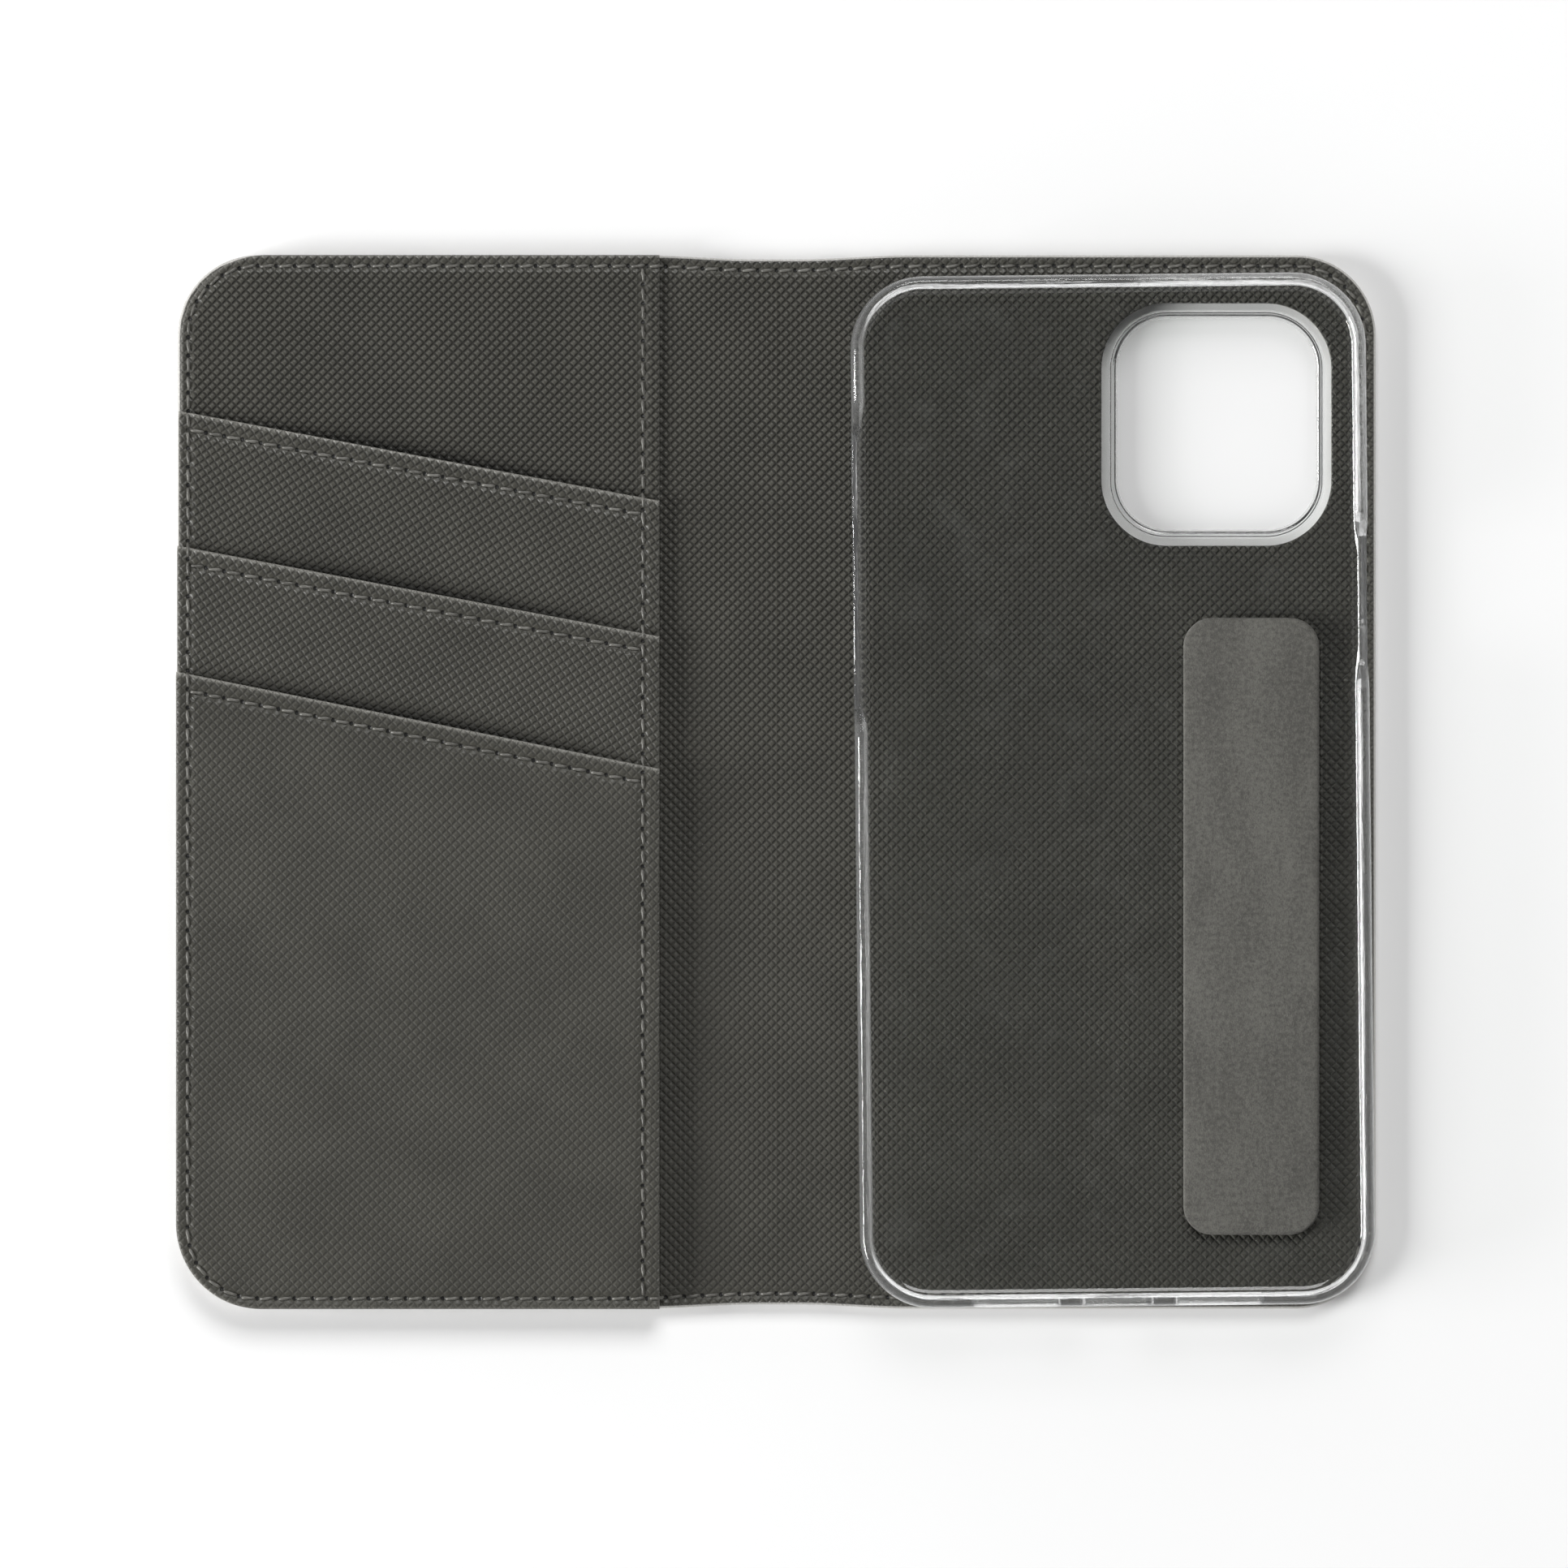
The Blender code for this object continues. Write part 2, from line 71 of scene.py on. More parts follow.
hinges = {j["name"]: j["pos_m"] for j in frame["record"]["behaviour"]["joints"]}
halfWidth, halfHeight = span("back_skin")[1][:2]
wholeCase = (-halfWidth, halfWidth, -halfHeight, halfHeight)
case = {
    "halfSpine": span("spine_skin")[1][1],
    "waist": (3.0, 19.5),  # the ends narrow from here to here, out from the middle
    "corner": 11.6,
    "foldX": hinges["spine_fold"][0] / mm,
    "axisZ": hinges["spine_fold"][2] / mm,
    "bend": 2.6,          # leather each side of a fold axis that takes the bend
    "jointX": 12.25,      # where the bending leather meets the leather glued to a board
}
levels = {
    "linerTop": span("back_liner")[1][2],
    "linerLow": span("back_liner")[0][2],
    "trayTop": span("phone_tray")[1][2],
    "trayLow": span("tray_bond_film")[1][2] + 0.3,
}


def smooth(low, high, value):  # 0 below low, 1 above high, t * t * (3 - 2 * t) between
    t = np.clip((value - low) / (high - low), 0, 1)
    return t * t * (3 - 2 * t)


# ---- shader wiring ----

class Wire:
    # one output socket; arithmetic on it adds Math nodes
    def __init__(self, tree, socket=None):
        self.tree, self.socket = tree, socket

    def node(self, kind, settings=None, inputs=None, out=0):
        made = self.tree.nodes.new(kind)
        for key, value in (settings or {}).items():
            setattr(made, key, value)
        for key, value in (inputs or {}).items():
            socket = made.inputs[key]
            if isinstance(value, Wire):
                self.tree.links.new(value.socket, socket)
            else:
                socket.default_value = (*value, 1) if socket.type == "RGBA" else value
        return Wire(self.tree, made.outputs[out])

    def math(self, operation, *values):
        return self.node("ShaderNodeMath", {"operation": operation},
                         dict(enumerate([self, *values])))

    def __add__(self, other):
        return self.math("ADD", other)

    def __sub__(self, other):
        return self.math("SUBTRACT", other)

    def __rsub__(self, other):
        return self.node("ShaderNodeMath", {"operation": "SUBTRACT"}, {0: other, 1: self})

    def __mul__(self, other):
        return self.math("MULTIPLY", other)

    __radd__, __rmul__ = __add__, __mul__

    def fade(self, low, high, start=0.0, end=1.0):  # smooth step from start to end
        return self.node("ShaderNodeMapRange", {"interpolation_type": "SMOOTHSTEP"},
                         {"Value": self, "From Min": low, "From Max": high,
                          "To Min": start, "To Max": end})

    def mix(self, there, here):  # colour there where this is 0, here where it is 1
        return self.node("ShaderNodeMix", {"data_type": "RGBA"}, {0: self, 6: there, 7: here}, 2)

    def parts(self):  # the three numbers of a vector
        split = self.node("ShaderNodeSeparateXYZ", {}, {0: self})
        return [Wire(self.tree, s) for s in split.socket.node.outputs]

    def attribute(self, name):
        return self.node("ShaderNodeAttribute", {"attribute_name": name}, {}, "Vector")

    def place(self, stretch=(1, 1, 1), turn=0.0):  # object coordinates, stretched and turned
        coords = self.node("ShaderNodeTexCoord", {}, {}, "Object")
        return self.node("ShaderNodeMapping", {}, {"Vector": coords, "Scale": stretch,
                                                  "Rotation": (0, 0, turn)})

    def noise(self, where, size, detail=3.0, rough=0.55):  # size of a blotch in millimetres
        return self.node("ShaderNodeTexNoise", {},
                         {"Vector": where, "Scale": 1 / (size * mm), "Detail": detail,
                          "Roughness": rough})


def newFinish(name, values):  # uniform values are set directly
    made = bpy.data.materials.new(name)
    made.use_nodes = True
    shader = made.node_tree.nodes["Principled BSDF"]
    for key, value in values.items():
        shader.inputs[key].default_value = (*value, 1) if isinstance(value, tuple) else value
    return made, shader, Wire(made.node_tree)


def feed(shader, **wires):  # Base_Color=wire and so on
    for key, wire in wires.items():
        wire.tree.links.new(wire.socket, shader.inputs[key.replace("_", " ")])


def bumpFrom(wire, height, depth, strength=1.0):  # depth in millimetres
    return wire.node("ShaderNodeBump", {}, {"Height": height, "Distance": depth * mm,
                                            "Strength": strength})


def shaded(colour, dark, pale):  # the same colour darker and paler
    return tuple(dark * c for c in colour), tuple(pale * c for c in colour)


leather = {
    "period": 1.4,        # across the points of one diamond
    "stitchPitch": 2.7,
    "body": (0.0503, 0.0484, 0.0396),
    # painted shade for the bottoms of the emboss grooves and just above the slot edges
    "groove": (0.006, 0.0058, 0.0050),
    # painted highlight for the shoulders of the raised diamonds
    "crestHighlight": (0.100, 0.098, 0.087),
    # rubbed edges, lightened further as a painted highlight where folded edges catch light
    "wearAndPaintedLight": (0.27, 0.264, 0.24),
    # painted shade inside the needle holes
    "hole": (0.002, 0.002, 0.002),
    "roughness": 0.40,
}


def embossedLeather():
    # The weave attribute holds the two groove counts and the emboss strength; the seam attribute
    # holds stitches along, millimetres from the seam, and wear with painted light: rubbed wear
    # with a painted highlight where positive, painted shade where negative.
    made, shader, w = newFinish("embossed_leather", {"IOR": 1.48})
    first, second, strength = w.attribute("weave").parts()
    along, across, wearAndPaintedLight = w.attribute("seam").parts()
    pitch = leather["period"] / math.sqrt(2)
    toFirst = first.math("PINGPONG", 0.5)
    toSecond = second.math("PINGPONG", 0.5)
    away = toFirst.math("MINIMUM", toSecond) * pitch
    where = w.place()
    grain = w.noise(where, 0.16, 4.0, 0.6)
    patches = w.noise(where, 9.0, 3.0, 0.5)
    line = (1 - away.fade(0.01, 0.12)) * strength
    shoulder = away.fade(0.10, 0.20) * away.fade(0.20, 0.32, 1.0, 0.0) * strength
    colour = (patches * 0.6 + grain * 0.5).fade(0.35, 0.75).mix(
        *shaded(leather["body"], 0.86, 1.16))
    # painted highlight on the shoulders of each diamond
    colour = (shoulder * 0.45).mix(colour, leather["crestHighlight"])
    # painted shade darkening the bottom of each emboss groove
    colour = (line * 0.85).mix(colour, leather["groove"])
    # rubbed wear with a painted highlight where the attribute is positive
    colour = (wearAndPaintedLight.fade(0, 1) * grain.fade(0.25, 0.6)).mix(colour, leather["wearAndPaintedLight"])
    # painted shade where the attribute is negative, just above the slot edges
    colour = (wearAndPaintedLight.fade(0, -1) * 0.8).mix(colour, leather["groove"])
    gap = along.math("PINGPONG", 0.5) * leather["stitchPitch"]
    far = (gap * gap + across * across).math("SQRT", 0.0)
    # near-black painted shade inside each needle hole at the stitch ends
    hole = far.fade(0.20, 0.36, 1.0, 0.0)
    colour = hole.mix(colour, leather["hole"])
    rough = leather["roughness"] + 0.16 * (grain - 0.5) + 0.2 * line + 0.1 * (patches - 0.5)
    height = away.fade(0.02, 0.26) * strength + grain * 0.06 - hole * 1.2
    feed(shader, Base_Color=colour, Roughness=rough, Normal=bumpFrom(w, height, 0.22))
    return made


def smoothLeather():
    # Outer skin: pebbled grain as the edges of two sizes of cells, with faint handling marks.
    made, shader, w = newFinish("smooth_leather", {"IOR": 1.47, "Sheen Weight": 0.08})
    where = w.place()
    cells = w.node("ShaderNodeTexVoronoi", {"feature": "DISTANCE_TO_EDGE"},
                   {"Vector": where, "Scale": 1 / (0.55 * mm), "Randomness": 0.9})
    pores = w.noise(where, 0.12, 3.0, 0.6)
    marks = w.noise(w.place((1, 0.25, 1)), 14.0, 4.0, 0.6)
    crease = cells.fade(0.0, 0.16, 1.0, 0.0)
    colour = marks.fade(0.3, 0.8).mix((0.50, 0.49, 0.468), (0.60, 0.59, 0.568))
    colour = (crease * 0.4).mix(colour, (0.34, 0.33, 0.31))
    rough = 0.42 + 0.2 * crease + 0.14 * (marks - 0.5) + 0.08 * (pores - 0.5)
    height = cells.fade(0.0, 0.22) + pores * 0.2
    feed(shader, Base_Color=colour, Roughness=rough, Normal=bumpFrom(w, height, 0.035))
    return made


def suedeFinish():
    # Short nap: fine fibre noise over brushed patches, rougher where the nap is lifted.
    made, shader, w = newFinish("microsuede", {"Sheen Weight": 0.35, "Sheen Roughness": 0.4,
                                               "Sheen Tint": (0.8, 0.79, 0.75)})
    where = w.place()
    fibre = w.noise(w.place((1.0, 0.45, 1.0), 0.4), 0.13, 5.0, 0.7)
    tufts = w.noise(where, 0.7, 4.0, 0.65)
    brushed = w.noise(w.place((1.0, 0.35, 1.0)), 6.0, 2.0, 0.5)
    shade = (fibre * 0.5 + tufts * 0.4 + brushed * 0.2).fade(0.42, 0.68)
    colour = shade.mix((0.060, 0.058, 0.052), (0.140, 0.137, 0.123))
    fleck = fibre.fade(0.62, 0.72)
    colour = (fleck * 0.45).mix(colour, (0.27, 0.26, 0.235))
    speck = w.noise(w.place((1.0, 0.6, 1.0)), 0.35, 3.0, 0.7).fade(0.36, 0.30)
    colour = (speck * 0.6).mix(colour, (0.035, 0.033, 0.030))
    rough = 0.9 + 0.12 * (tufts - 0.5)
    height = fibre * 0.7 + tufts * 0.5
    feed(shader, Base_Color=colour, Roughness=rough, Normal=bumpFrom(w, height, 0.09))
    return made


def threadFinish():
    # Bonded thread: the plies are in the mesh, the fibres in a stretched noise.
    made, shader, w = newFinish("bonded_thread", {"IOR": 1.5})
    fibre = w.noise(w.place(), 0.08, 3.0, 0.6)
    tone = w.noise(w.place(), 3.0, 2.0)
    colour = (fibre * 0.6 + tone * 0.5).fade(0.35, 0.75).mix((0.060, 0.058, 0.051),
                                                            (0.165, 0.161, 0.145))
    rough = 0.34 + 0.25 * (fibre - 0.5)
    feed(shader, Base_Color=colour, Roughness=rough, Normal=bumpFrom(w, fibre, 0.02))
    return made


def clearFinish(name, clear, streaks):
    # Clear polycarbonate that bends light; lamps shine through it. The lane attribute (in from the
    # edge, height, along) draws the moulding streaks out along the walls.
    made, shader, w = newFinish(name, {"IOR": 1.49, "Transmission Weight": clear,
                                       "Base Color": (0.965, 0.970, 0.968)})
    lane = w.attribute("lane")
    wide = w.node("ShaderNodeVectorMath", {"operation": "MULTIPLY"}, {0: lane, 1: (1, 1, 0.04)})
    streak = w.node("ShaderNodeTexNoise", {}, {"Vector": wide, "Scale": 3.2, "Detail": 3.0})
    specks = w.noise(w.place(), 0.9, 2.0)
    rough = specks * 0.01 + streak * streaks * 0.05
    feed(shader, Roughness=rough, Normal=bumpFrom(w, streak, 0.02 + 0.12 * streaks,
                                                  0.05 + 0.40 * streaks))
    lamp = w.node("ShaderNodeLightPath", {}, {}, "Is Shadow Ray")
    passing = w.node("ShaderNodeBsdfTransparent", {}, {"Color": (0.91, 0.915, 0.91)})
    both = w.node("ShaderNodeMixShader", {}, {0: lamp, 1: Wire(w.tree, shader.outputs[0]),
                                              2: passing})
    w.tree.links.new(both.socket, w.tree.nodes["Material Output"].inputs["Surface"])
    return made


def filmFinish():
    # Clear adhesive film: almost nothing shows but faint cloudy patches where it has not wetted.
    made, shader, w = newFinish("adhesive_film", {"Base Color": (0.5, 0.5, 0.48)})
    patch = w.noise(w.place(), 5.0, 3.0).fade(0.5, 0.8)
    feed(shader, Alpha=patch * 0.02 + 0.004, Roughness=patch * 0.2 + 0.3)
    return made


def boardFinish():
    # Grey board: long pale and dark fibres pressed flat.
    made, shader, w = newFinish("pressed_board", {})
    fibre = w.noise(w.place((1, 0.2, 1), 0.7), 0.5, 4.0, 0.7)
    flecks = w.noise(w.place((0.3, 1, 1), 0.2), 0.6, 3.0, 0.6)
    colour = fibre.fade(0.35, 0.7).mix((0.20, 0.17, 0.13), (0.40, 0.35, 0.28))
    colour = flecks.fade(0.62, 0.7).mix(colour, (0.10, 0.085, 0.07))
    feed(shader, Base_Color=colour, Roughness=0.8 + 0.15 * (fibre - 0.5),
         Normal=bumpFrom(w, fibre, 0.05))
    return made


def metalFinish(name, colour, roughness, stretch):
    # Brushed metal: noise drawn out along one axis, with duller patches.
    made, shader, w = newFinish(name, {"Metallic": 1.0})
    lines = w.noise(w.place(stretch), 0.25, 4.0, 0.65)
    dull = w.noise(w.place(), 4.0, 2.0)
    tone = lines.mix(*shaded(colour, 0.8, 1.15))
    feed(shader, Base_Color=tone, Roughness=roughness + 0.2 * (lines - 0.5) + 0.15 * (dull - 0.5),
         Normal=bumpFrom(w, lines, 0.008))
    return made


finishes = {
    "liner": embossedLeather(),
    "outer_skin": smoothLeather(),
    "suede": suedeFinish(),
    "thread": threadFinish(),
    "clear_plastic": clearFinish("clear_polycarbonate", 1.0, 0.0),
    "clear_wall": clearFinish("clear_polycarbonate_wall", 0.95, 1.0),
    "adhesive": filmFinish(),
    "board": boardFinish(),
    "steel": metalFinish("rolled_steel", (0.50, 0.50, 0.50), 0.32, (1, 0.04, 1)),
    "magnet": metalFinish("plated_magnet", (0.42, 0.42, 0.44), 0.24, (1, 1, 0.1)),
}
print("finishes made")


# ---- walls: each gives the distance outside an edge, and the way out ----

def roundBox(x0, x1, y0, y1, radius):
    # length(max(q, 0)) + min(max(qx, qy), 0) - r, with q the offset from the corner's centre
    cx, cy = (x0 + x1) / 2, (y0 + y1) / 2

    def wall(x, y):
        qx = np.abs(x - cx) - (x1 - x0) / 2 + radius
        qy = np.abs(y - cy) - (y1 - y0) / 2 + radius
        ox, oy = np.maximum(qx, 0), np.maximum(qy, 0)
        length = np.hypot(ox, oy)
        flat = length == 0
        safe = np.where(flat, 1, length)
        nx = np.where(flat, qx >= qy, ox / safe) * np.where(x >= cx, 1, -1)
        ny = np.where(flat, qx < qy, oy / safe) * np.where(y >= cy, 1, -1)
        return length + np.minimum(np.maximum(qx, qy), 0) - radius, nx, ny
    return wall


def lineWall(px, py, nx, ny):  # (x - px) * nx + (y - py) * ny, positive on the far side
    size = math.hypot(nx, ny)
    nx, ny = nx / size, ny / size

    def wall(x, y):
        return (x - px) * nx + (y - py) * ny, np.full_like(x, nx), np.full_like(x, ny)
    wall.line = (px, py, nx, ny)
    return wall


def waistHalf(x):  # half the height, which narrows smoothly towards the spine's middle
    share = smooth(case["waist"][0], case["waist"][1], np.abs(x))
    return case["halfSpine"] + (halfHeight - case["halfSpine"]) * share


def waistWall(x, y):  # |y| less the half height
    return np.abs(y) - waistHalf(x), np.zeros_like(x), np.where(y >= 0, 1.0, -1.0)


def inset(wall, by):  # the same wall moved inwards
    def moved(x, y):
        away, nx, ny = wall(x, y)
        return away + by, nx, ny
    if hasattr(wall, "line"):
        px, py, nx, ny = wall.line
        moved.line = (px - nx * by, py - ny * by, nx, ny)
    return moved


def opening(wall):  # the outside of a closed outline
    def turned(x, y):
        away, nx, ny = wall(x, y)
        return -away, -nx, -ny
    return turned


def meeting(first, second):  # where two line walls cross
    p, q = first.line, second.line
    matrix = np.array([[p[2], p[3]], [q[2], q[3]]])
    return np.linalg.solve(matrix, [p[0] * p[2] + p[1] * p[3], q[0] * q[2] + q[1] * q[3]])


coverOutline = roundBox(*wholeCase, case["corner"])


# ---- seams ----

seamPlan = {
    "edge": 1.6,          # perimeter seam in from the edge
    "hem": 2.4,           # hem seam below a slot edge
    "mouth": 2.4,         # side seam in from the pocket mouth
    "dip": 0.17,          # how far the thread pulls the leather down
    "dipWidth": 0.50,
    "threadLength": 2.25,
    "threadWide": 0.46,
    "threadHigh": 0.36,
    "skew": 0.10,         # each stitch lies a little across the seam
    "reach": 0.6,         # its direction is read this far each way along the seam
    "sides": 7,
    "stations": 9,
}
mouth = span("slip_pocket_panel")[1][0]  # the pockets' open side
pockets = {
    "rises": {            # slot edges above the cover's bottom: at the free edge, at the mouth
        "upper": (130.4, 117.3),
        "middle": (110.8, 97.6),
        "lower": (92.5, 78.4),
    },
}


def slotLine(name, below=0.0):
    # line wall along a slot edge, or below it by a distance
    free, end = (rise - halfHeight for rise in pockets["rises"][name])
    along = np.array([mouth + halfWidth, end - free])
    along /= np.linalg.norm(along)
    return inset(lineWall(-halfWidth, free, -along[1], along[0]), below)


def perimeter(side):
    # one half of the edge seam: out from the spine's middle, round both corners and back
    right = halfWidth - seamPlan["edge"]
    top = halfHeight - seamPlan["edge"]
    turn = case["corner"] - seamPlan["edge"]
    x = np.linspace(0, case["waist"][1] + 1, 16)
    start = np.column_stack([x, seamPlan["edge"] - waistHalf(x)])
    points = [start]
    for cy, first in ((-top + turn, -math.pi / 2), (top - turn, 0)):
        angle = first + np.linspace(0, math.pi / 2, 17)
        points.append(np.column_stack([right - turn + turn * np.cos(angle),
                                       cy + turn * np.sin(angle)]))
    points.append(start[::-1] * (1, -1))
    return np.vstack(points) * (side, 1)


mouthSeam, sideSeam = mouth - seamPlan["mouth"], -halfWidth + seamPlan["edge"]


def hemPath(name):
    line = slotLine(name, seamPlan["hem"])
    return np.array([meeting(line, lineWall(x, 0, 1, 0)) for x in (sideSeam, mouthSeam)])


seams = {
    "backEdge": perimeter(1),
    "frontEdge": perimeter(-1),
    "pocketSide": np.array([(mouthSeam, side * (halfHeight - seamPlan["edge"]))
                            for side in (-1, 1)]),
}
for slotName in pockets["rises"]:
    seams[slotName + "Hem"] = hemPath(slotName)


def walked(path):  # distance along a path at each of its points, and the stitch length that fits
    steps = np.linalg.norm(np.diff(path, axis=0), axis=1)
    gone = np.concatenate([[0], np.cumsum(steps)])
    return gone, gone[-1] / max(1, round(gone[-1] / leather["stitchPitch"]))


def seamField(x, y, names):
    # stitches along and millimetres across the nearest seam, by the distance to each segment
    along, across = np.zeros_like(x), np.full_like(x, 99.0)
    for name in names:
        path = seams[name]
        gone, pitch = walked(path)
        for a, b, start in zip(path[:-1], path[1:], gone):
            d = b - a
            size = float(np.hypot(*d))
            if size == 0:
                continue
            t = np.clip(((x - a[0]) * d[0] + (y - a[1]) * d[1]) / size ** 2, 0, 1)
            far = np.hypot(x - a[0] - t * d[0], y - a[1] - t * d[1])
            closer = far < across
            along = np.where(closer, (start + t * size) / pitch, along)
            across = np.where(closer, far, across)
    return along, across


# ---- heights of the leather ----

def wave(x, y):  # slow unevenness of glued leather
    return 0.035 * np.sin(x / 11 + y / 17) + 0.025 * np.sin(y / 9 - x / 23)


def dip(across):  # the channel that a seam pulls
    return seamPlan["dip"] * np.exp(-(across / seamPlan["dipWidth"]) ** 2)


panels = {  # side and end: how far in from the cover's edge each panel stops
    "slip_pocket_panel": {"slot": None, "next": "upper", "turn": 0.0, "depth": 0.19,
                          "side": 0.50, "end": 0.0, "seams": ("frontEdge", "pocketSide")},
    "upper_card_pocket": {"slot": "upper", "next": "middle", "turn": -11.0, "depth": 0.14,
                          "side": 0.20, "end": 0.05, "seams": ("frontEdge", "pocketSide",
                                                               "upperHem")},
    "middle_card_pocket": {"slot": "middle", "next": "lower", "turn": -11.0, "depth": 0.125,
                           "side": 0.02, "end": 0.05, "seams": ("frontEdge", "pocketSide",
                                                                "middleHem")},
    "lower_card_pocket": {"slot": "lower", "next": None, "turn": -1.7, "depth": 0.105,
                          "side": -0.12, "end": 0.05, "seams": ("frontEdge", "pocketSide",
                                                                "lowerHem")},
}
pocketShape = {
    "edgeRound": 0.22,    # rounding of a folded edge
    "hemRise": 0.10,      # the hem is two layers thick
    "puff": 0.26,         # a slot edge lifts in its middle
    "puffReach": 9.0,
    "sag": 0.24,          # the panel below dips under it
    "sagReach": 3.2,
    "corner": 0.6,        # cut a little rounder than the skin
    "drop": 0.24,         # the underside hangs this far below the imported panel's
    "tuck": 5.0,          # how far fine leather runs on under the next slot edge
    "shade": 1.6,         # painted shade just above the next slot edge
}


def belowSlot(name, x, y):  # millimetres below a slot edge
    return -slotLine(name)(x, y)[0]


def middleShare(x):  # 0 at both side seams of the pockets and 1 halfway
    return np.sin(np.pi * np.clip((x - sideSeam) / (mouthSeam - sideSeam), 0, 1)) ** 0.7


def puff(slot, x, y):  # how far a slot edge lifts the leather: height * e^-(below / reach)^2
    below = belowSlot(slot, x, y)
    return pocketShape["puff"] * middleShare(x) * np.exp(-(below / pocketShape["puffReach"]) ** 2)


def panelHeight(name, x, y, across):
    # level + hem rise + puff at its own slot edge - sag under the next one - seam channel
    spec = panels[name]
    z = span(name)[1][2] + 0.5 * wave(x, y) - dip(across)
    if spec["slot"]:
        z = z + pocketShape["hemRise"] * smooth(3.0, 1.8, belowSlot(spec["slot"], x, y))
        z = z + puff(spec["slot"], x, y)
    if spec["next"]:
        under = -belowSlot(spec["next"], x, y)
        z = z - pocketShape["sag"] * middleShare(x) * smooth(pocketShape["sagReach"], 0, under)
    return z


def linerHeight(x, y, across):
    return levels["linerTop"] + wave(x, y) - dip(across)


def topPanel(x, y):  # index of the uppermost panel at each point, -1 on the liner
    index = np.where(x > mouth, -1, 0)
    for level, name in enumerate(pockets["rises"]):
        index = np.where((index >= 0) & (belowSlot(name, x, y) > 0), level + 1, index)
    return index


def frontHeight(x, y, across):
    index = topPanel(x, y)
    z = linerHeight(x, y, across)
    for level, name in enumerate(panels):
        z = np.where(index == level, panelHeight(name, x, y, across), z)
    return z


# ---- meshes ----

def readAll(items, key, each=1, kind=float):  # one property of every item, a row for each
    values = np.empty(len(items) * each, kind)
    items.foreach_get(key, values)
    return values.reshape(-1, each) if each > 1 else values


def level(z):  # a height that is the same everywhere
    return lambda x, y: np.full_like(x, z)


def putMesh(name, points, triangles, finish, attributes=None, creases=None):
    # points in millimetres, all triangles at once; creases are pairs of points kept sharp
    mesh = bpy.data.meshes.new(name)
    points = np.asarray(points, float) * mm
    triangles = np.asarray(triangles, np.int32)
    mesh.vertices.add(len(points))
    mesh.vertices.foreach_set("co", points.astype(np.float32).ravel())
    mesh.loops.add(triangles.size)
    mesh.loops.foreach_set("vertex_index", triangles.ravel())
    mesh.polygons.add(len(triangles))
    mesh.polygons.foreach_set("loop_start", np.arange(0, triangles.size, 3, dtype=np.int32))
    mesh.update(calc_edges=True)
    mesh.validate()
    mesh.shade_smooth()
    if creases is not None and len(creases):
        pairs = readAll(mesh.edges, "vertices", 2, np.int32).astype(np.int64)
        keys = [np.sort(p, axis=1) @ (len(points), 1) for p in (pairs, creases)]
        mesh.attributes.new("sharp_edge", "BOOLEAN", "EDGE").data.foreach_set(
            "value", np.isin(*keys))
    for key, values in (attributes or {}).items():
        mesh.attributes.new(key, "FLOAT_VECTOR", "POINT").data.foreach_set(
            "vector", np.asarray(values, np.float32).ravel())
    mesh.materials.append(finishes[finish])
    made = bpy.data.objects.new(name, mesh)
    bpy.context.scene.collection.objects.link(made)
    return made


def grooves(x, y, turn):  # the two groove counts of the emboss, turned by degrees
    c, s = math.cos(math.radians(turn)), math.sin(math.radians(turn))
    u, v = x * c + y * s, -x * s + y * c
    return (u + v) / leather["period"], (u - v) / leather["period"]


def emboss(first, second):
    # 0 in a groove, rising to 1 at the shoulder a quarter pitch away, then a low dome
    away = np.minimum(np.abs(first - np.round(first)), np.abs(second - np.round(second)))
    return np.clip(away / 0.25, 0, 1) + 0.10 * np.clip((away - 0.25) / 0.25, 0, 1)


def halfRound(radius, parts=4):  # ways out and shares of the thickness round a folded edge
    angle = np.linspace(0, np.pi, parts + 1)
    return radius * np.sin(angle), (1 - np.cos(angle)) / 2


def underFace(bx, by, start, end, walls, spacing):
    # triangles between a border and a coarse grid of points inside it, for the hidden underside;
    # a triangle on the right side of a border edge is inside, and so are all joined to it
    gx, gy = np.meshgrid(np.arange(bx.min(), bx.max(), spacing),
                         np.arange(by.min(), by.max(), spacing))
    gx, gy = gx.ravel() + spacing / 3, gy.ravel() + spacing / 3
    inside = np.max([wall(gx, gy)[0] for wall in walls], axis=0) < -spacing / 3
    x, y = np.concatenate([bx, gx[inside]]), np.concatenate([by, gy[inside]])
    flat = [mathutils.Vector(pair) for pair in np.column_stack([x, y]).tolist()]
    edges = np.column_stack([start, end]).tolist()
    found = mathutils.geometry.delaunay_2d_cdt(flat, edges, [], 0, 1e-7)
    source = np.array([first[0] for first in found[3]])
    triangles = source[np.array(found[2])]
    total = len(x)
    sides = np.concatenate([triangles[:, [0, 1]], triangles[:, [1, 2]], triangles[:, [2, 0]]])
    key = sides[:, 0] * total + sides[:, 1]
    ahead, back = np.isin(key, start * total + end), np.isin(key, end * total + start)
    inner = ahead.reshape(3, -1).any(axis=0)
    side = inner.astype(int) - (back.reshape(3, -1).any(axis=0) & ~inner)
    free = ~(ahead | back)
    pairs = np.sort(sides[free], axis=1) @ (total, 1)
    order = np.argsort(pairs, kind="stable")
    owner = np.tile(np.arange(len(triangles)), 3)[free][order]
    same = np.nonzero(np.diff(pairs[order]) == 0)[0]
    p, q = owner[same], owner[same + 1]
    for _ in range(400):  # spread to neighbours, but never across the border
        told = side.copy()
        np.add.at(told, p, side[q])
        np.add.at(told, q, side[p])
        told = np.where(side == 0, np.sign(told), side)
        if np.array_equal(told, side):
            break
        side = told
    return gx[inside], gy[inside], triangles[side > 0]


touching = 0.004  # a point this near to a wall is on it


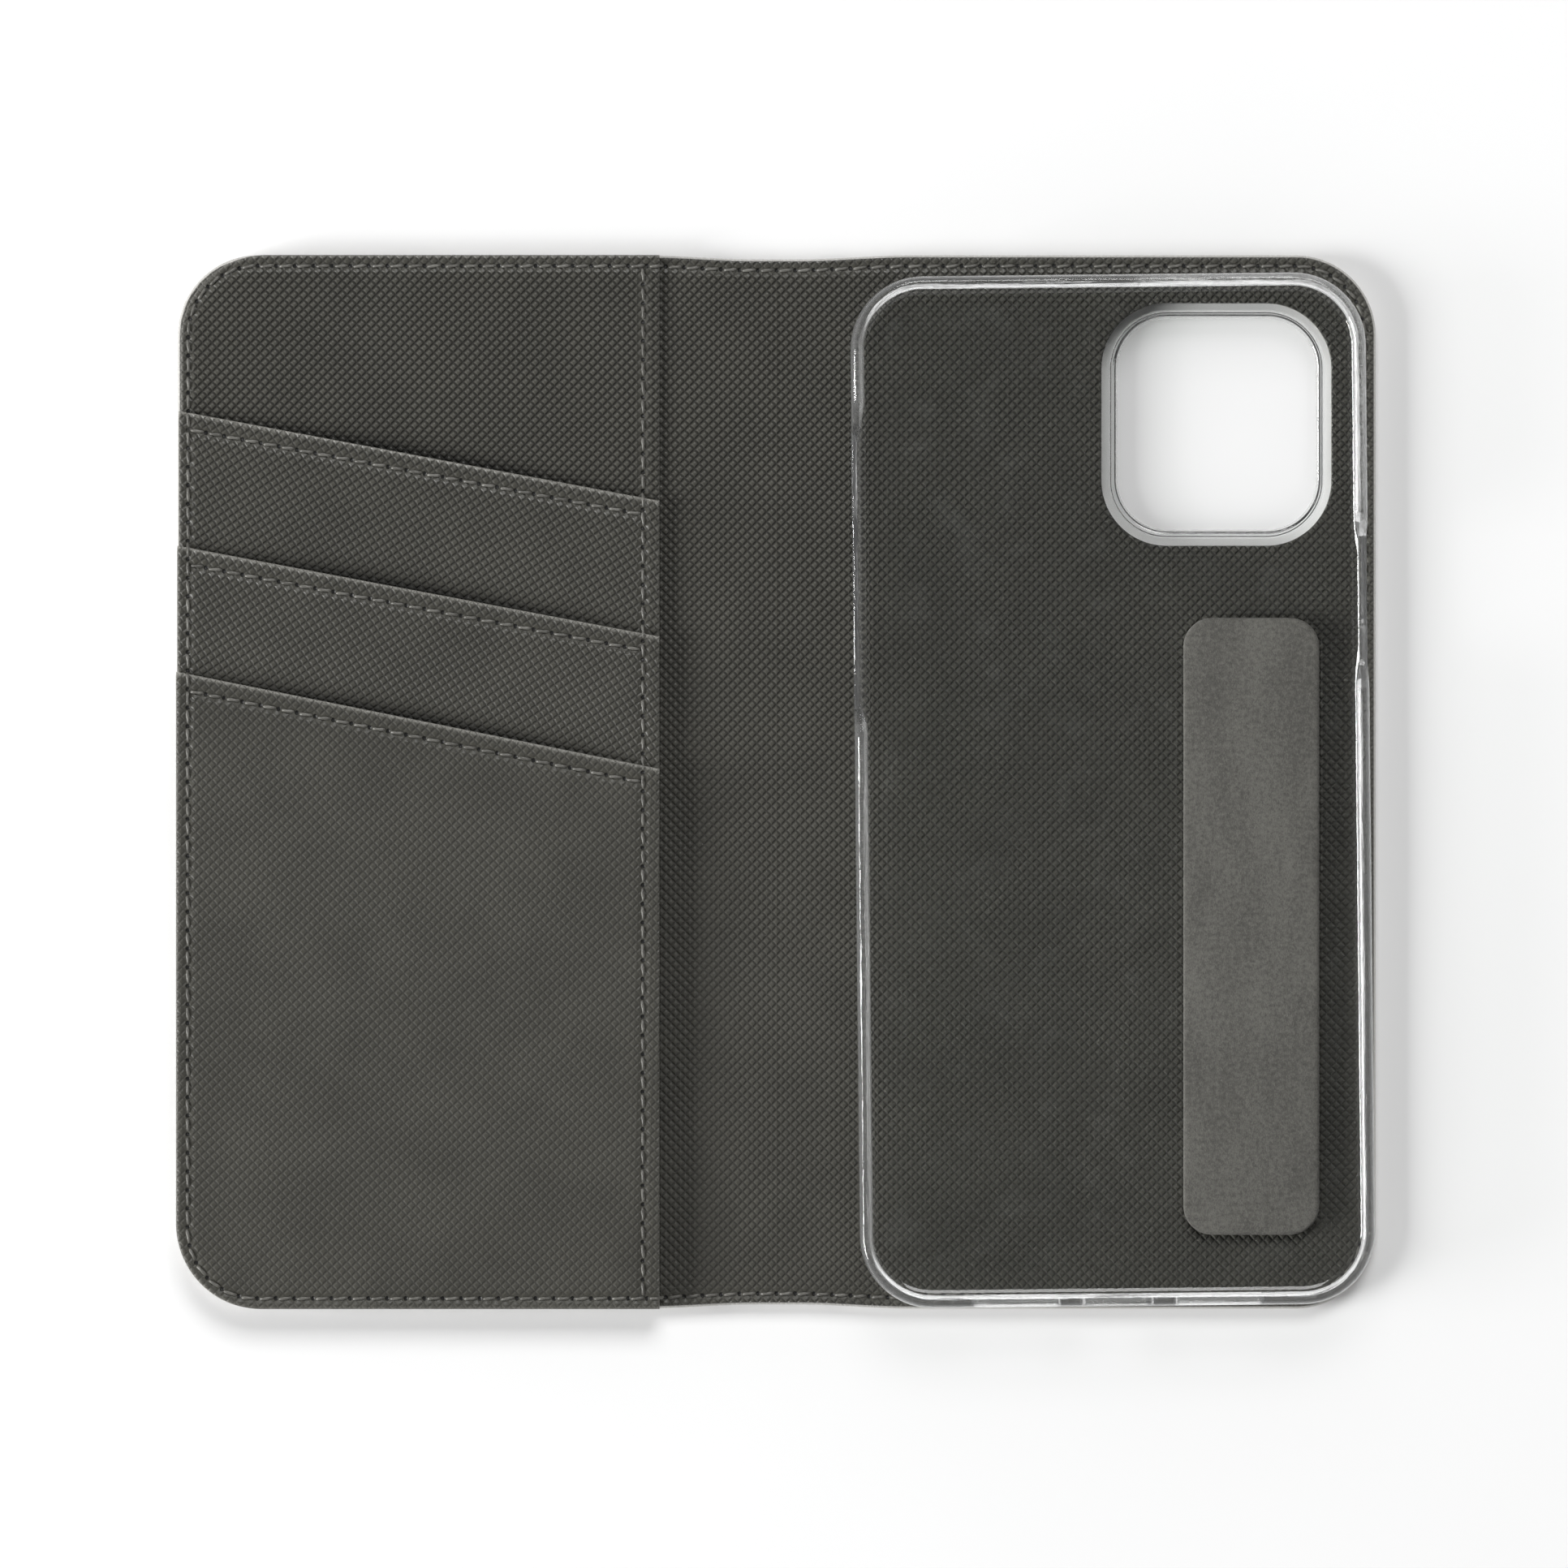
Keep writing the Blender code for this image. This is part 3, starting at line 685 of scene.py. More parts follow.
def withoutSpurs(kept):  # drops cells that hang on by one side, and ones that meet at a point
    for _ in range(3):
        wide = np.pad(kept, 1).astype(int)
        beside = wide[2:, 1:-1] + wide[:-2, 1:-1] + wide[1:-1, 2:] + wide[1:-1, :-2]
        kept = kept & (beside > 1)
        for flip in (1, -1):
            k = kept[:, ::flip]
            k[:-1, :-1] &= ~(k[1:, 1:] & ~k[1:, :-1] & ~k[:-1, 1:])
    return kept


def onAny(walls, x, y):  # which points lie on one of the walls
    on = np.zeros(len(x), bool)
    for wall in walls:
        on |= np.abs(wall(x, y)[0]) < touching
    return on


def sheetShell(extent, walls, flats, step, turn, top, bottom, rim, corners=(), rimHeights=None):
    # A closed shell on a grid: cells whose middle is inside all walls are kept, the border is
    # moved onto the walls, the rim is carried round it, and a coarse underside closes it.
    # walls get the rim; flats are cut square. Returns points, triangles and creases.
    c, s = math.cos(math.radians(turn)), math.sin(math.radians(turn))
    x0, x1, y0, y1 = extent
    box = np.array([(x0, y0), (x1, y0), (x1, y1), (x0, y1)])
    u, v = box @ (c, s), box @ (-s, c)
    i = np.arange(math.floor(u.min() / step) - 1, math.ceil(u.max() / step) + 2)
    j = np.arange(math.floor(v.min() / step) - 1, math.ceil(v.max() / step) + 2)
    gi, gj = np.meshgrid(i, j, indexing="ij")
    x, y = (gi * c - gj * s) * step, (gi * s + gj * c) * step
    every = list(walls) + list(flats)
    mx = (x[:-1, :-1] + x[1:, 1:]) / 2
    my = (y[:-1, :-1] + y[1:, 1:]) / 2
    kept = withoutSpurs(np.max([wall(mx, my)[0] for wall in every], axis=0) < 0)
    number = np.arange(x.size).reshape(x.shape)
    cell = np.stack([number[:-1, :-1][kept], number[1:, :-1][kept], number[1:, 1:][kept],
                     number[:-1, 1:][kept]], 1)
    less, more = (gi - gj)[:-1, :-1][kept] % 4, (gi + gj + 1)[:-1, :-1][kept] % 4
    rising = (less == 0) | ((less % 2 == 1) & (more == 2))  # cut along the grooves
    up = np.where(rising[:, None], cell[:, [0, 1, 2, 0, 2, 3]],
                  cell[:, [0, 1, 3, 1, 2, 3]]).reshape(-1, 3)
    used, up = np.unique(up, return_inverse=True)
    up = up.reshape(-1, 3)
    x, y = x.ravel()[used], y.ravel()[used]
    edges = np.concatenate([up[:, [0, 1]], up[:, [1, 2]], up[:, [2, 0]]])
    key = np.sort(edges, axis=1)
    key = key[:, 0] * (len(used) + 1) + key[:, 1]
    order, counts = np.unique(key, return_counts=True)
    lonely = edges[np.isin(key, order[counts == 1])]
    rimIds = np.unique(lonely)
    place = np.full(len(used), -1)
    place[rimIds] = np.arange(len(rimIds))
    bx, by = x[rimIds], y[rimIds]
    away = np.array([wall(bx, by) for wall in every])
    nearest = np.argmax(away[:, 0], axis=0)
    picked = away[nearest, :, np.arange(len(rimIds))]
    bx, by = bx - picked[:, 0] * picked[:, 1], by - picked[:, 0] * picked[:, 2]
    for corner in corners:
        k = np.argmin(np.hypot(bx - corner[0], by - corner[1]))
        bx[k], by[k] = corner
    for _ in range(3):
        for wall in every:
            far, nx, ny = wall(bx, by)
            far = np.maximum(far, 0)
            bx, by = bx - far * nx, by - far * ny
    start, end = place[lonely[:, 0]], place[lonely[:, 1]]
    after = np.zeros(len(rimIds), int)
    after[start] = end
    joined = np.hypot(bx[end] - bx[start], by[end] - by[start]) < 0.001
    for v in end[joined]:  # points moved on to one spot are spread along the border
        bx[v] += 0.3 * (bx[after[v]] - bx[v])
        by[v] += 0.3 * (by[after[v]] - by[v])
    x[rimIds], y[rimIds] = bx, by
    outX, outY = np.zeros(len(rimIds)), np.zeros(len(rimIds))
    for wall in walls:
        far, nx, ny = wall(bx, by)
        on = (np.abs(far) < touching) & (outX * nx + outY * ny < 0.9)
        outX, outY = outX + nx * on, outY + ny * on
    topZ, borderZ = top(x, y), bottom(bx, by)
    outs, shares = rim
    count, rings = len(rimIds), len(outs)
    points = [np.column_stack([x, y, topZ])]
    heights = rimHeights(bx, by) if rimHeights else [
        topZ[rimIds] + (borderZ - topZ[rimIds]) * share for share in shares]
    for k in range(1, rings):
        points.append(np.column_stack([bx + outX * outs[k], by + outY * outs[k], heights[k]]))

    def ring(k, ids):  # point numbers of ring k; ring 0 is the top's own border
        return rimIds[ids] if k == 0 else len(used) + (k - 1) * count + ids

    innerX, innerY, low = underFace(bx, by, start, end, every, linerPlan["under"])
    points.append(np.column_stack([innerX, innerY, bottom(innerX, innerY)]))
    faces = [up, (len(used) + (rings - 2) * count + low)[:, ::-1]]
    square = onAny(flats, bx, by)
    plain = square[start] & square[end] & onAny(flats, (bx[start] + bx[end]) / 2,
                                                (by[start] + by[end]) / 2)
    turns = [(k, k + 1, ~plain) for k in range(rings - 1)] + [(0, rings - 1, plain)]
    for k, m, chosen in turns:
        p, q = start[chosen], end[chosen]
        faces.append(np.column_stack([ring(k, q), ring(k, p), ring(m, p)]))
        faces.append(np.column_stack([ring(k, q), ring(m, p), ring(m, q)]))
    first, last = (np.setdiff1d(*ids) for ids in ((start[~plain], end[~plain]),
                                                  (end[~plain], start[~plain])))
    for k in range(1, rings - 1):  # caps where the rim stops at a square cut
        faces.append(np.column_stack([ring(0, first), ring(k + 1, first), ring(k, first)]))
        faces.append(np.column_stack([ring(0, last), ring(k, last), ring(k + 1, last)]))
    creases = [np.column_stack([ring(k, start[plain]), ring(k, end[plain])])
               for k in (0, rings - 1)]
    for k in range(rings - 1):
        for ids in (first, last):
            creases.append(np.column_stack([ring(k, ids), ring(k + 1, ids)]))
    return np.vstack(points), np.vstack(faces), np.vstack(creases)


def leatherSheet(name, shells, turn, seamNames, strength, wearHighlightAndShade):
    # joins shells into one leather piece with its weave and seam attributes
    starts = np.cumsum([0] + [len(shell[0]) for shell in shells])
    points = np.vstack([shell[0] for shell in shells])
    faces, creases = (np.vstack([shell[k] + first for shell, first in zip(shells, starts)])
                      for k in (1, 2))
    x, y = points[:, 0], points[:, 1]
    along, across = seamField(x, y, seamNames)
    return putMesh(name, points, faces, "liner", {
        "weave": np.column_stack([*grooves(x, y, turn), strength(x, y, across)]),
        "seam": np.column_stack([along, across, wearHighlightAndShade(x, y)]),
    }, creases)


def embossedTop(height, turn, depth, seamNames, strength):
    # height(x, y, across) with the grooves pressed in: + depth * (emboss - 1) * strength
    def top(x, y):
        across = seamField(x, y, seamNames)[1]
        return height(x, y, across) + depth * (emboss(*grooves(x, y, turn)) - 1) * strength(
            x, y, across)
    return top


linerPlan = {
    "step": leather["period"] / 4,
    "inset": 0.3,         # liner cut this much inside the skin
    "edgeRound": 0.25,
    "depth": 0.18,
    "fineUnder": 3.0,     # fine leather runs this far under the pockets
    "coarse": 2.8,
    "under": 2.6,         # spacing of the points on hidden undersides
}


def embossStrength(x, y, across):  # softer beside a seam, near the edge and towards the bottom
    edge = -coverOutline(x, y)[0]
    soft = 0.35 + 0.65 * smooth(0.45, 1.1, across)
    return soft * (0.55 + 0.45 * smooth(0.2, 0.9, edge)) * (0.66 + 0.34 * smooth(-40, 60, y))


polishHighlightPlan = {            # how strong each polished band is, and how soon it fades; each is rubbed wear lightened further as a painted highlight, the slot edge band most
    "edge": (0.35, 0.25),
    "mouth": (0.55, 0.22),
    "slot": (1.2, 0.26),
}


def polishedWithHighlight(name, away):  # strength * e^(-away / reach)
    strength, reach = polishHighlightPlan[name]
    return strength * np.exp(-away / reach)


def edgeWearAndHighlight(x, y):  # a little polish on the cut edge, with a painted highlight
    return polishedWithHighlight("edge", np.maximum(-coverOutline(x, y)[0] - linerPlan["inset"], 0))


def linerPiece(name, x0, x1, seamNames, holes=(), coarseFrom=None):
    # a stretch of liner between two square cuts; the outline's own edges are rounded
    edge = linerPlan["inset"] + linerPlan["edgeRound"]
    outer = [inset(coverOutline, edge), inset(waistWall, edge)]
    flats, corners = [], []
    for x, way in ((x0, -1), (x1, 1)):
        if abs(x) < halfWidth:
            half = waistHalf(x) - edge
            flats.append(lineWall(x, 0, way, 0))
            corners += [(x, half), (x, -half)]
    rim = halfRound(linerPlan["edgeRound"])
    top = embossedTop(linerHeight, 0, linerPlan["depth"], seamNames, embossStrength)
    low = level(levels["linerLow"])
    shells = [sheetShell((x0, x1, *wholeCase[2:]), outer + list(holes), flats, linerPlan["step"],
                         0, top, low, rim, corners)]
    if coarseFrom is not None:
        half = halfHeight - edge
        shells.append(sheetShell((coarseFrom, x0, *wholeCase[2:]), outer, [lineWall(x0, 0, 1, 0)],
                                 linerPlan["coarse"], 0, level(levels["linerTop"]), low, rim,
                                 [(x0, half), (x0, -half)]))
    return leatherSheet(name, shells, 0, seamNames, embossStrength, edgeWearAndHighlight)


window = {
    "fromTop": 3.9,       # from the tray's top end
    "fromSide": 5.3,      # from the tray's free side
    "width": 33.4,
    "height": 35.2,
    "corner": 9.5,
}
tray = {
    "turn": 0.6,          # degrees, bonded on slightly askew
    "width": 74.5,
    "length": 149.2,
    "corner": 10.5,
}
trayMiddle = (span("phone_tray")[0] + span("phone_tray")[1])[:2] / 2
window["x"] = trayMiddle[0] + tray["width"] / 2 - window["fromSide"] - window["width"] / 2
window["y"] = trayMiddle[1] + tray["length"] / 2 - window["fromTop"] - window["height"] / 2


def windowOutline(grow=0.0):
    halfX, halfY = window["width"] / 2, window["height"] / 2
    return roundBox(window["x"] - halfX - grow, window["x"] + halfX + grow,
                    window["y"] - halfY - grow, window["y"] + halfY + grow,
                    window["corner"] + grow)


def bendBetween(piece, side):  # bakes the piece's placement into its mesh; the fold position worked out from side is not used, so nothing bends the piece
    cover = "back_cover" if side > 0 else "front_cover"
    fold, reach = case["foldX"] * side, case["bend"] * side
    (fold + reach) * mm
    case["axisZ"] * mm
    (fold - reach) * mm
    case["axisZ"] * mm
    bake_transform(piece)


def buildLiners():
    joint = case["jointX"]
    hole = opening(inset(windowOutline(), -linerPlan["edgeRound"]))
    back = linerPiece("back_liner_leather", joint, halfWidth, ["backEdge"], [hole])
    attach(back, "back_cover")
    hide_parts("back_liner")
    spineBack = linerPiece("spine_liner_back_half", 0, joint, ["backEdge"])
    bendBetween(spineBack, 1)
    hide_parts("spine_liner", "back_fold_strip")
    spineFront = linerPiece("spine_liner_front_half", -joint, 0, ["frontEdge"])
    bendBetween(spineFront, -1)
    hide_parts("front_fold_strip")
    front = linerPiece("front_liner_leather", mouth - linerPlan["fineUnder"], -joint,
                       ["frontEdge"], coarseFrom=-halfWidth)
    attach(front, "front_cover")
    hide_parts("front_liner")
    deep = 2 * halfHeight * mm
    coverArea = (halfWidth - joint) * mm
    coverArea * deep - (window["width"] * window["height"]) * mm * mm
    for piece in (spineBack, spineFront):
        joint * mm
        2 * case["halfSpine"] * mm


buildLiners()
print("liners made")


def buildPanel(name):
    # fine leather down to just under the next slot edge, plain leather below that
    spec = panels[name]
    low, high = span(name)
    roll = pocketShape["edgeRound"]
    left = -halfWidth + spec["side"] + roll
    half = halfHeight - spec["end"] - roll
    outline = roundBox(left, -left, -half, half, case["corner"] + pocketShape["corner"])
    mouthEdge = inset(lineWall(mouth, 0, 1, 0), roll)
    leftEdge, bottomEdge = lineWall(left, 0, -1, 0), lineWall(0, -half, 0, -1)
    walls, flats = [outline, mouthEdge], []
    if spec["slot"]:
        slot = inset(slotLine(spec["slot"]), roll)
        walls.append(slot)
        corners = [meeting(slot, mouthEdge), meeting(slot, leftEdge)]
    else:
        corners = [meeting(lineWall(0, half, 0, 1), mouthEdge)]
    if spec["next"]:
        lower = slotLine(spec["next"], pocketShape["tuck"])
        px, py, nx, ny = lower.line
        flats = [lineWall(px, py, -nx, -ny)]
        tucked = [meeting(lower, mouthEdge), meeting(lower, leftEdge)]
        corners += tucked
    else:
        corners.append(meeting(bottomEdge, mouthEdge))

    def strength(x, y, across):
        soft = embossStrength(x, y, across)
        if spec["slot"]:
            soft = soft * (0.6 + 0.4 * smooth(0.0, 1.2, belowSlot(spec["slot"], x, y)))
        return soft * (spec["depth"] / panels["slip_pocket_panel"]["depth"]) ** 0.5

    def bottom(x, y):  # rests on the layer below, with a gap only at the slot edge
        drop = pocketShape["drop"]
        if spec["slot"]:
            drop = drop * smooth(0.8, 4.0, belowSlot(spec["slot"], x, y))
            return low[2] - drop + puff(spec["slot"], x, y)
        return np.full_like(x, low[2] - drop)

    # rubbed wear with a painted highlight at the edge, the mouth and the slot edge, less painted
    # shade just above the next slot edge
    def wearHighlightAndShade(x, y):
        polishHighlightAndShade = polishedWithHighlight("edge", np.maximum(-outline(x, y)[0], 0))
        polishHighlightAndShade = polishHighlightAndShade + polishedWithHighlight("mouth", np.abs(x - mouth))
        if spec["slot"]:
            polishHighlightAndShade = polishHighlightAndShade + polishedWithHighlight("slot", np.abs(belowSlot(spec["slot"], x, y) - 0.05))
        if spec["next"]:
            above = np.maximum(-belowSlot(spec["next"], x, y), 0)
            # painted shade just above the next slot edge, strongest halfway between the side seams
            polishHighlightAndShade = polishHighlightAndShade - np.exp(-above / pocketShape["shade"]) * middleShare(x) * 0.9
        return np.clip(polishHighlightAndShade, -1, 1)

    def height(x, y, across):
        return panelHeight(name, x, y, across)

    rim = halfRound(roll)
    extent = (-halfWidth, mouth, *wholeCase[2:])
    top = embossedTop(height, spec["turn"], spec["depth"], spec["seams"], strength)
    shells = [sheetShell(extent, walls, flats, linerPlan["step"], spec["turn"], top, bottom, rim,
                         corners)]
    if spec["next"]:
        shells.append(sheetShell(extent, [outline, mouthEdge], [lower], linerPlan["coarse"], 0,
                                 level(high[2] - 0.05), level(low[2] - pocketShape["drop"]), rim,
                                 [*tucked, meeting(bottomEdge, mouthEdge)]))
    made = leatherSheet(name.replace("_panel", "") + "_leather", shells, spec["turn"],
                        spec["seams"], strength, wearHighlightAndShade)
    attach(made, "front_cover")
    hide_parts(name)
    wide = (mouth + halfWidth) * mm
    tall = (high[1] - low[1]) * mm
    wide * tall * (0.93 if spec["slot"] else 1.0)


for panelName in panels:
    buildPanel(panelName)
print("pockets made")


# ---- stitching ----

def tubeQuads(rings, sides):  # the four-sided faces between rings of points
    k, a = np.meshgrid(np.arange(rings - 1), np.arange(sides), indexing="ij")
    b = (a + 1) % sides
    return np.stack([k * sides + a, k * sides + b, (k + 1) * sides + b, (k + 1) * sides + a],
                    -1).reshape(-1, 4)


def stitchRow(name, seamName, height, keep, seed):
    # Each stitch is a tube along its seam: width * |cos| in plan, crowned by cos(pi * s / length),
    # with two plies as 1 + 0.14 * cos(2 * (angle - twist)) round it.
    path = seams[seamName]
    gone, pitch = walked(path)
    total = round(gone[-1] / pitch)
    middle = (np.arange(total) + 0.5) * pitch

    def pathAt(distance):
        return np.column_stack([np.interp(distance, gone, path[:, k]) for k in (0, 1)])

    centre = pathAt(middle)
    chosen = keep(centre[:, 0])
    middle, centre = middle[chosen], centre[chosen]
    way = pathAt(middle + seamPlan["reach"]) - pathAt(middle - seamPlan["reach"])
    way /= np.linalg.norm(way, axis=1)[:, None]
    rng = np.random.default_rng(seed)
    skew = seamPlan["skew"] + rng.normal(0, 0.025, len(middle))
    way = way + np.column_stack([-way[:, 1], way[:, 0]]) * skew[:, None]
    way /= np.linalg.norm(way, axis=1)[:, None]
    side = np.column_stack([-way[:, 1], way[:, 0]])
    length = seamPlan["threadLength"] * (1 + rng.normal(0, 0.03, len(middle)))
    t = np.linspace(-1, 1, seamPlan["stations"])
    s = t[None, :] * length[:, None] / 2
    angle = np.linspace(0, 2 * np.pi, seamPlan["sides"], endpoint=False)
    x = centre[:, :1] + way[:, :1] * s
    y = centre[:, 1:] + way[:, 1:] * s
    _, across = seamField(x, y, [seamName])
    base = height(x, y, across)
    base = (np.maximum(base, base.mean(axis=1, keepdims=True)) + base) / 2
    crown = base + 0.16 * np.cos(np.pi * t / 2) ** 0.6 - 0.36 * np.abs(t) ** 6
    slim = np.sqrt(np.clip(1 - np.abs(t) ** 5, 0.12, 1))
    ply = 1 + 0.14 * np.cos(2 * (angle[None, None, :] - 2.2 * s[:, :, None]
                                 - rng.uniform(0, 3, len(middle))[:, None, None]))
    wide = seamPlan["threadWide"] / 2 * slim[None, :, None] * ply * np.cos(angle)
    high = seamPlan["threadHigh"] / 2 * slim[None, :, None] * ply * np.sin(angle)
    body = np.stack([x[:, :, None] + side[:, 0, None, None] * wide,
                     y[:, :, None] + side[:, 1, None, None] * wide, crown[:, :, None] + high], -1)
    tips = np.stack([np.column_stack([x[:, k], y[:, k], crown[:, k] - 0.05]) for k in (0, -1)], 1)
    n, m, r = body.shape[:3]
    points = np.concatenate([body.reshape(n, -1, 3), tips], axis=1)
    quads = tubeQuads(m, r)[:, [0, 3, 2, 1]]
    ring = np.arange(r)
    after = (ring + 1) % r
    faces = np.vstack([quads[:, [0, 1, 2]], quads[:, [0, 2, 3]],
                       np.column_stack([np.full(r, m * r), ring, after]),
                       np.column_stack([np.full(r, m * r + 1), (m - 1) * r + after,
                                        (m - 1) * r + ring])])
    faces = (faces[None] + (np.arange(n) * points.shape[1])[:, None, None]).reshape(-1, 3)
    return putMesh(name, points.reshape(-1, 3), faces[:, ::-1], "thread")


def buildStitches():
    joint = case["jointX"]
    rows = [
        ("back_edge_stitches", "backEdge", linerHeight, lambda x: x >= joint, "back_cover",
         ["back_edge_thread"]),
        ("spine_stitches_back_half", "backEdge", linerHeight, lambda x: x < joint, 1,
         ["spine_top_thread", "spine_bottom_thread"]),
        ("spine_stitches_front_half", "frontEdge", linerHeight, lambda x: x > -joint, -1, []),
        ("front_edge_stitches", "frontEdge", frontHeight, lambda x: x <= -joint, "front_cover",
         ["front_edge_thread"]),
    ]
    for seamName in list(seams)[2:]:  # the pocket side and the three hems
        part = seamName.replace("Side", "_side").replace("Hem", "_hem")
        rows.append((part + "_stitches", seamName, frontHeight, lambda x: x < 0, "front_cover",
                     [part + "_thread"]))
    for seed, (name, seamName, height, keep, body, nodes) in enumerate(rows):
        row = stitchRow(name, seamName, height, keep, seed)
        if isinstance(body, str):
            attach(row, body)
        else:
            bendBetween(row, body)
        if nodes:
            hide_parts(*nodes)


buildStitches()
print("stitches made")


# ---- outer skin ----

skinPlan = {
    "thick": 0.6,
    "rimWide": 2.2,       # the turned-up border, from the edge to the flat inside
    "edgeRound": 0.75,
    "step": 0.7,
    "valley": 0.7,        # the leather is pressed in at each fold
    "valleyFlat": 0.7,    # flat this far each side of it
    "lap": 0.05,          # left under the liner
}


def valley(x):  # depth of the groove outside a fold, flat-bottomed and eased at both sides
    return skinPlan["valley"] * smooth(case["bend"], skinPlan["valleyFlat"],
                                       np.abs(np.abs(x) - case["foldX"]))


def buildSkin(name, side):
    # The outside is the shell's first face; its border turns up round the edge of the board,
    # in over it, and down to the inside face.
    rimWide, bend = skinPlan["rimWide"], skinPlan["edgeRound"]
    topZ = levels["linerLow"] - skinPlan["lap"]
    angle = np.linspace(0, np.pi / 2, 6)
    outs = np.array([0.0, *(rimWide - bend + bend * np.sin(angle)), rimWide, rimWide - 0.12,
                     rimWide - 0.35, 0.7, 0.45, 0.0])
    rise = np.array([0.0, *(bend - bend * np.cos(angle)), topZ - 0.3, topZ - 0.08, topZ, topZ,
                     topZ - 0.2, skinPlan["thick"]])
    walls = [inset(coverOutline, rimWide), inset(waistWall, rimWide)]
    flats = [lineWall(0, 0, -side, 0)]
    half = case["halfSpine"] - rimWide
    if side > 0:
        walls.append(opening(windowOutline(rimWide)))

    def rimHeights(x, y):
        return [valley(x) + z * (topZ - valley(x)) / topZ for z in rise]

    extent = (min(0, side * halfWidth), max(0, side * halfWidth), *wholeCase[2:])
    points, faces, creases = sheetShell(
        extent, walls, flats, skinPlan["step"], 0, lambda x, y: valley(x),
        lambda x, y: valley(x) + skinPlan["thick"], (outs, rise / skinPlan["thick"]),
        [(0, half), (0, -half)], rimHeights)
    made = putMesh(name, points, faces[:, ::-1], "outer_skin", None, creases)
    bendBetween(made, side)
    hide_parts(*(["back_skin", "spine_skin"] if side > 0 else ["front_skin"]))


buildSkin("outer_skin_back_half", 1)
buildSkin("outer_skin_front_half", -1)
print("outer skins made")


# ---- suede strip ----

suede = {"step": 0.45, "edgeRound": 0.3, "crown": 0.10, "crownReach": 1.2, "fuzz": 0.018,
         "corner": 4.2}


def buildSuede():
    # flat pad with a soft rounded border: crown * (1 - e^(-d / reach)) at d from the edge
    low, high = span("suede_strip")
    outline = roundBox(low[0], high[0], low[1], high[1], suede["corner"])
    rng = np.random.default_rng(4)

    def top(x, y):
        inside = np.maximum(-outline(x, y)[0], 0)
        fuzz = suede["fuzz"] * (rng.random(x.shape) - 0.5)
        return high[2] - suede["crown"] * np.exp(-inside / suede["crownReach"]) + fuzz - 0.01

    points, faces, _ = sheetShell(
        (low[0], high[0], low[1], high[1]), [inset(outline, suede["edgeRound"])], [],
        suede["step"], 0, top, level(low[2]), halfRound(suede["edgeRound"], 6))
    made = putMesh("suede_pad", points, faces, "suede")
    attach(made, "back_cover")
    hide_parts("suede_strip")


buildSuede()
print("suede made")


# ---- clear tray ----

tray.update({
    "floor": 1.0,
    "wall": 1.1,
    "lip": 0.8,
    "sill": 1.6,
    "volume": (24.0, 61.8, 6.2, 3.5),   # sill from and to, down from the top end; end slopes
    "power": (38.8, 56.4, 3.6, 3.6),
    "slots": ((0.0, 11.0, 5.2), (14.7, 13.2, 3.0), (-14.7, 13.2, 3.0)),
    "collarGap": 1.0,
    "collarWall": 1.25,
    "collarFoot": 0.6,
    "stripSlack": 0.4,
    "around": 1.1,        # spacing of the points round the wall
    # curves as growth or inset, and height
    "footCurve": ((2.2, 0), (1.6, 0), (1.2, 0.08), (0.8, 0.35), (0.42, 0.8), (0.2, 1.3),
                  (0.07, 2.0), (0, 2.9)),
    "floorCurve": ((0.12, 0.9), (0.4, 0.42), (0.8, 0.12), (1.3, 0), (1.8, 0)),
    "collarLow": ((-0.55, 0), (-0.42, 0.06), (-0.33, 0.2), (-0.3, 0.4)),
    "boreLow": ((0.4, -0.5), (0.3, 0.02), (0.17, 0.12), (0.1, 0.3)),
    "boreHigh": ((-0.05, -0.75), (-0.03, -0.5), (0.06, -0.3), (0.22, -0.14), (0.42, -0.04),
                 (0.65, 0.01), (0.7, 0.6)),
})


trayCos, traySin = math.cos(math.radians(tray["turn"])), math.sin(math.radians(tray["turn"]))


def trayTurned(x, y):  # tray coordinates to the cover's
    return trayMiddle[0] + trayCos * x - traySin * y, trayMiddle[1] + traySin * x + trayCos * y


def trayStraight(places):  # metres on the cover to the tray's own x, y, z and the way in
    x, y, z = (places / mm).T
    x, y = x - trayMiddle[0], y - trayMiddle[1]
    x, y = trayCos * x + traySin * y, trayCos * y - traySin * x
    halfX, halfY = tray["width"] / 2, tray["length"] / 2
    return x, y, z, -roundBox(-halfX, halfX, -halfY, halfY, tray["corner"])(x, y)[0]


def roundPath(width, length, radius, spacing):
    # anticlockwise points of a rounded box and their ways out
    halfX, halfY = width / 2 - radius, length / 2 - radius
    corners = [(halfX, halfY), (-halfX, halfY), (-halfX, -halfY), (halfX, -halfY)]
    parts = []
    for k, (cx, cy) in enumerate(corners):
        angle = k * np.pi / 2 + np.linspace(0, np.pi / 2, 25)
        parts.append((cx + radius * np.cos(angle), cy + radius * np.sin(angle), np.cos(angle),
                      np.sin(angle)))
        c, s = np.cos(angle[-1]), np.sin(angle[-1])
        count = int(2 * (halfY if k % 2 else halfX) / spacing)
        share = np.arange(1, count) / count
        toX, toY = corners[(k + 1) % 4]
        parts.append((cx + radius * c + (toX - cx) * share, cy + radius * s + (toY - cy) * share,
                      np.full(count - 1, c), np.full(count - 1, s)))
    return [np.concatenate(v) for v in zip(*parts)]


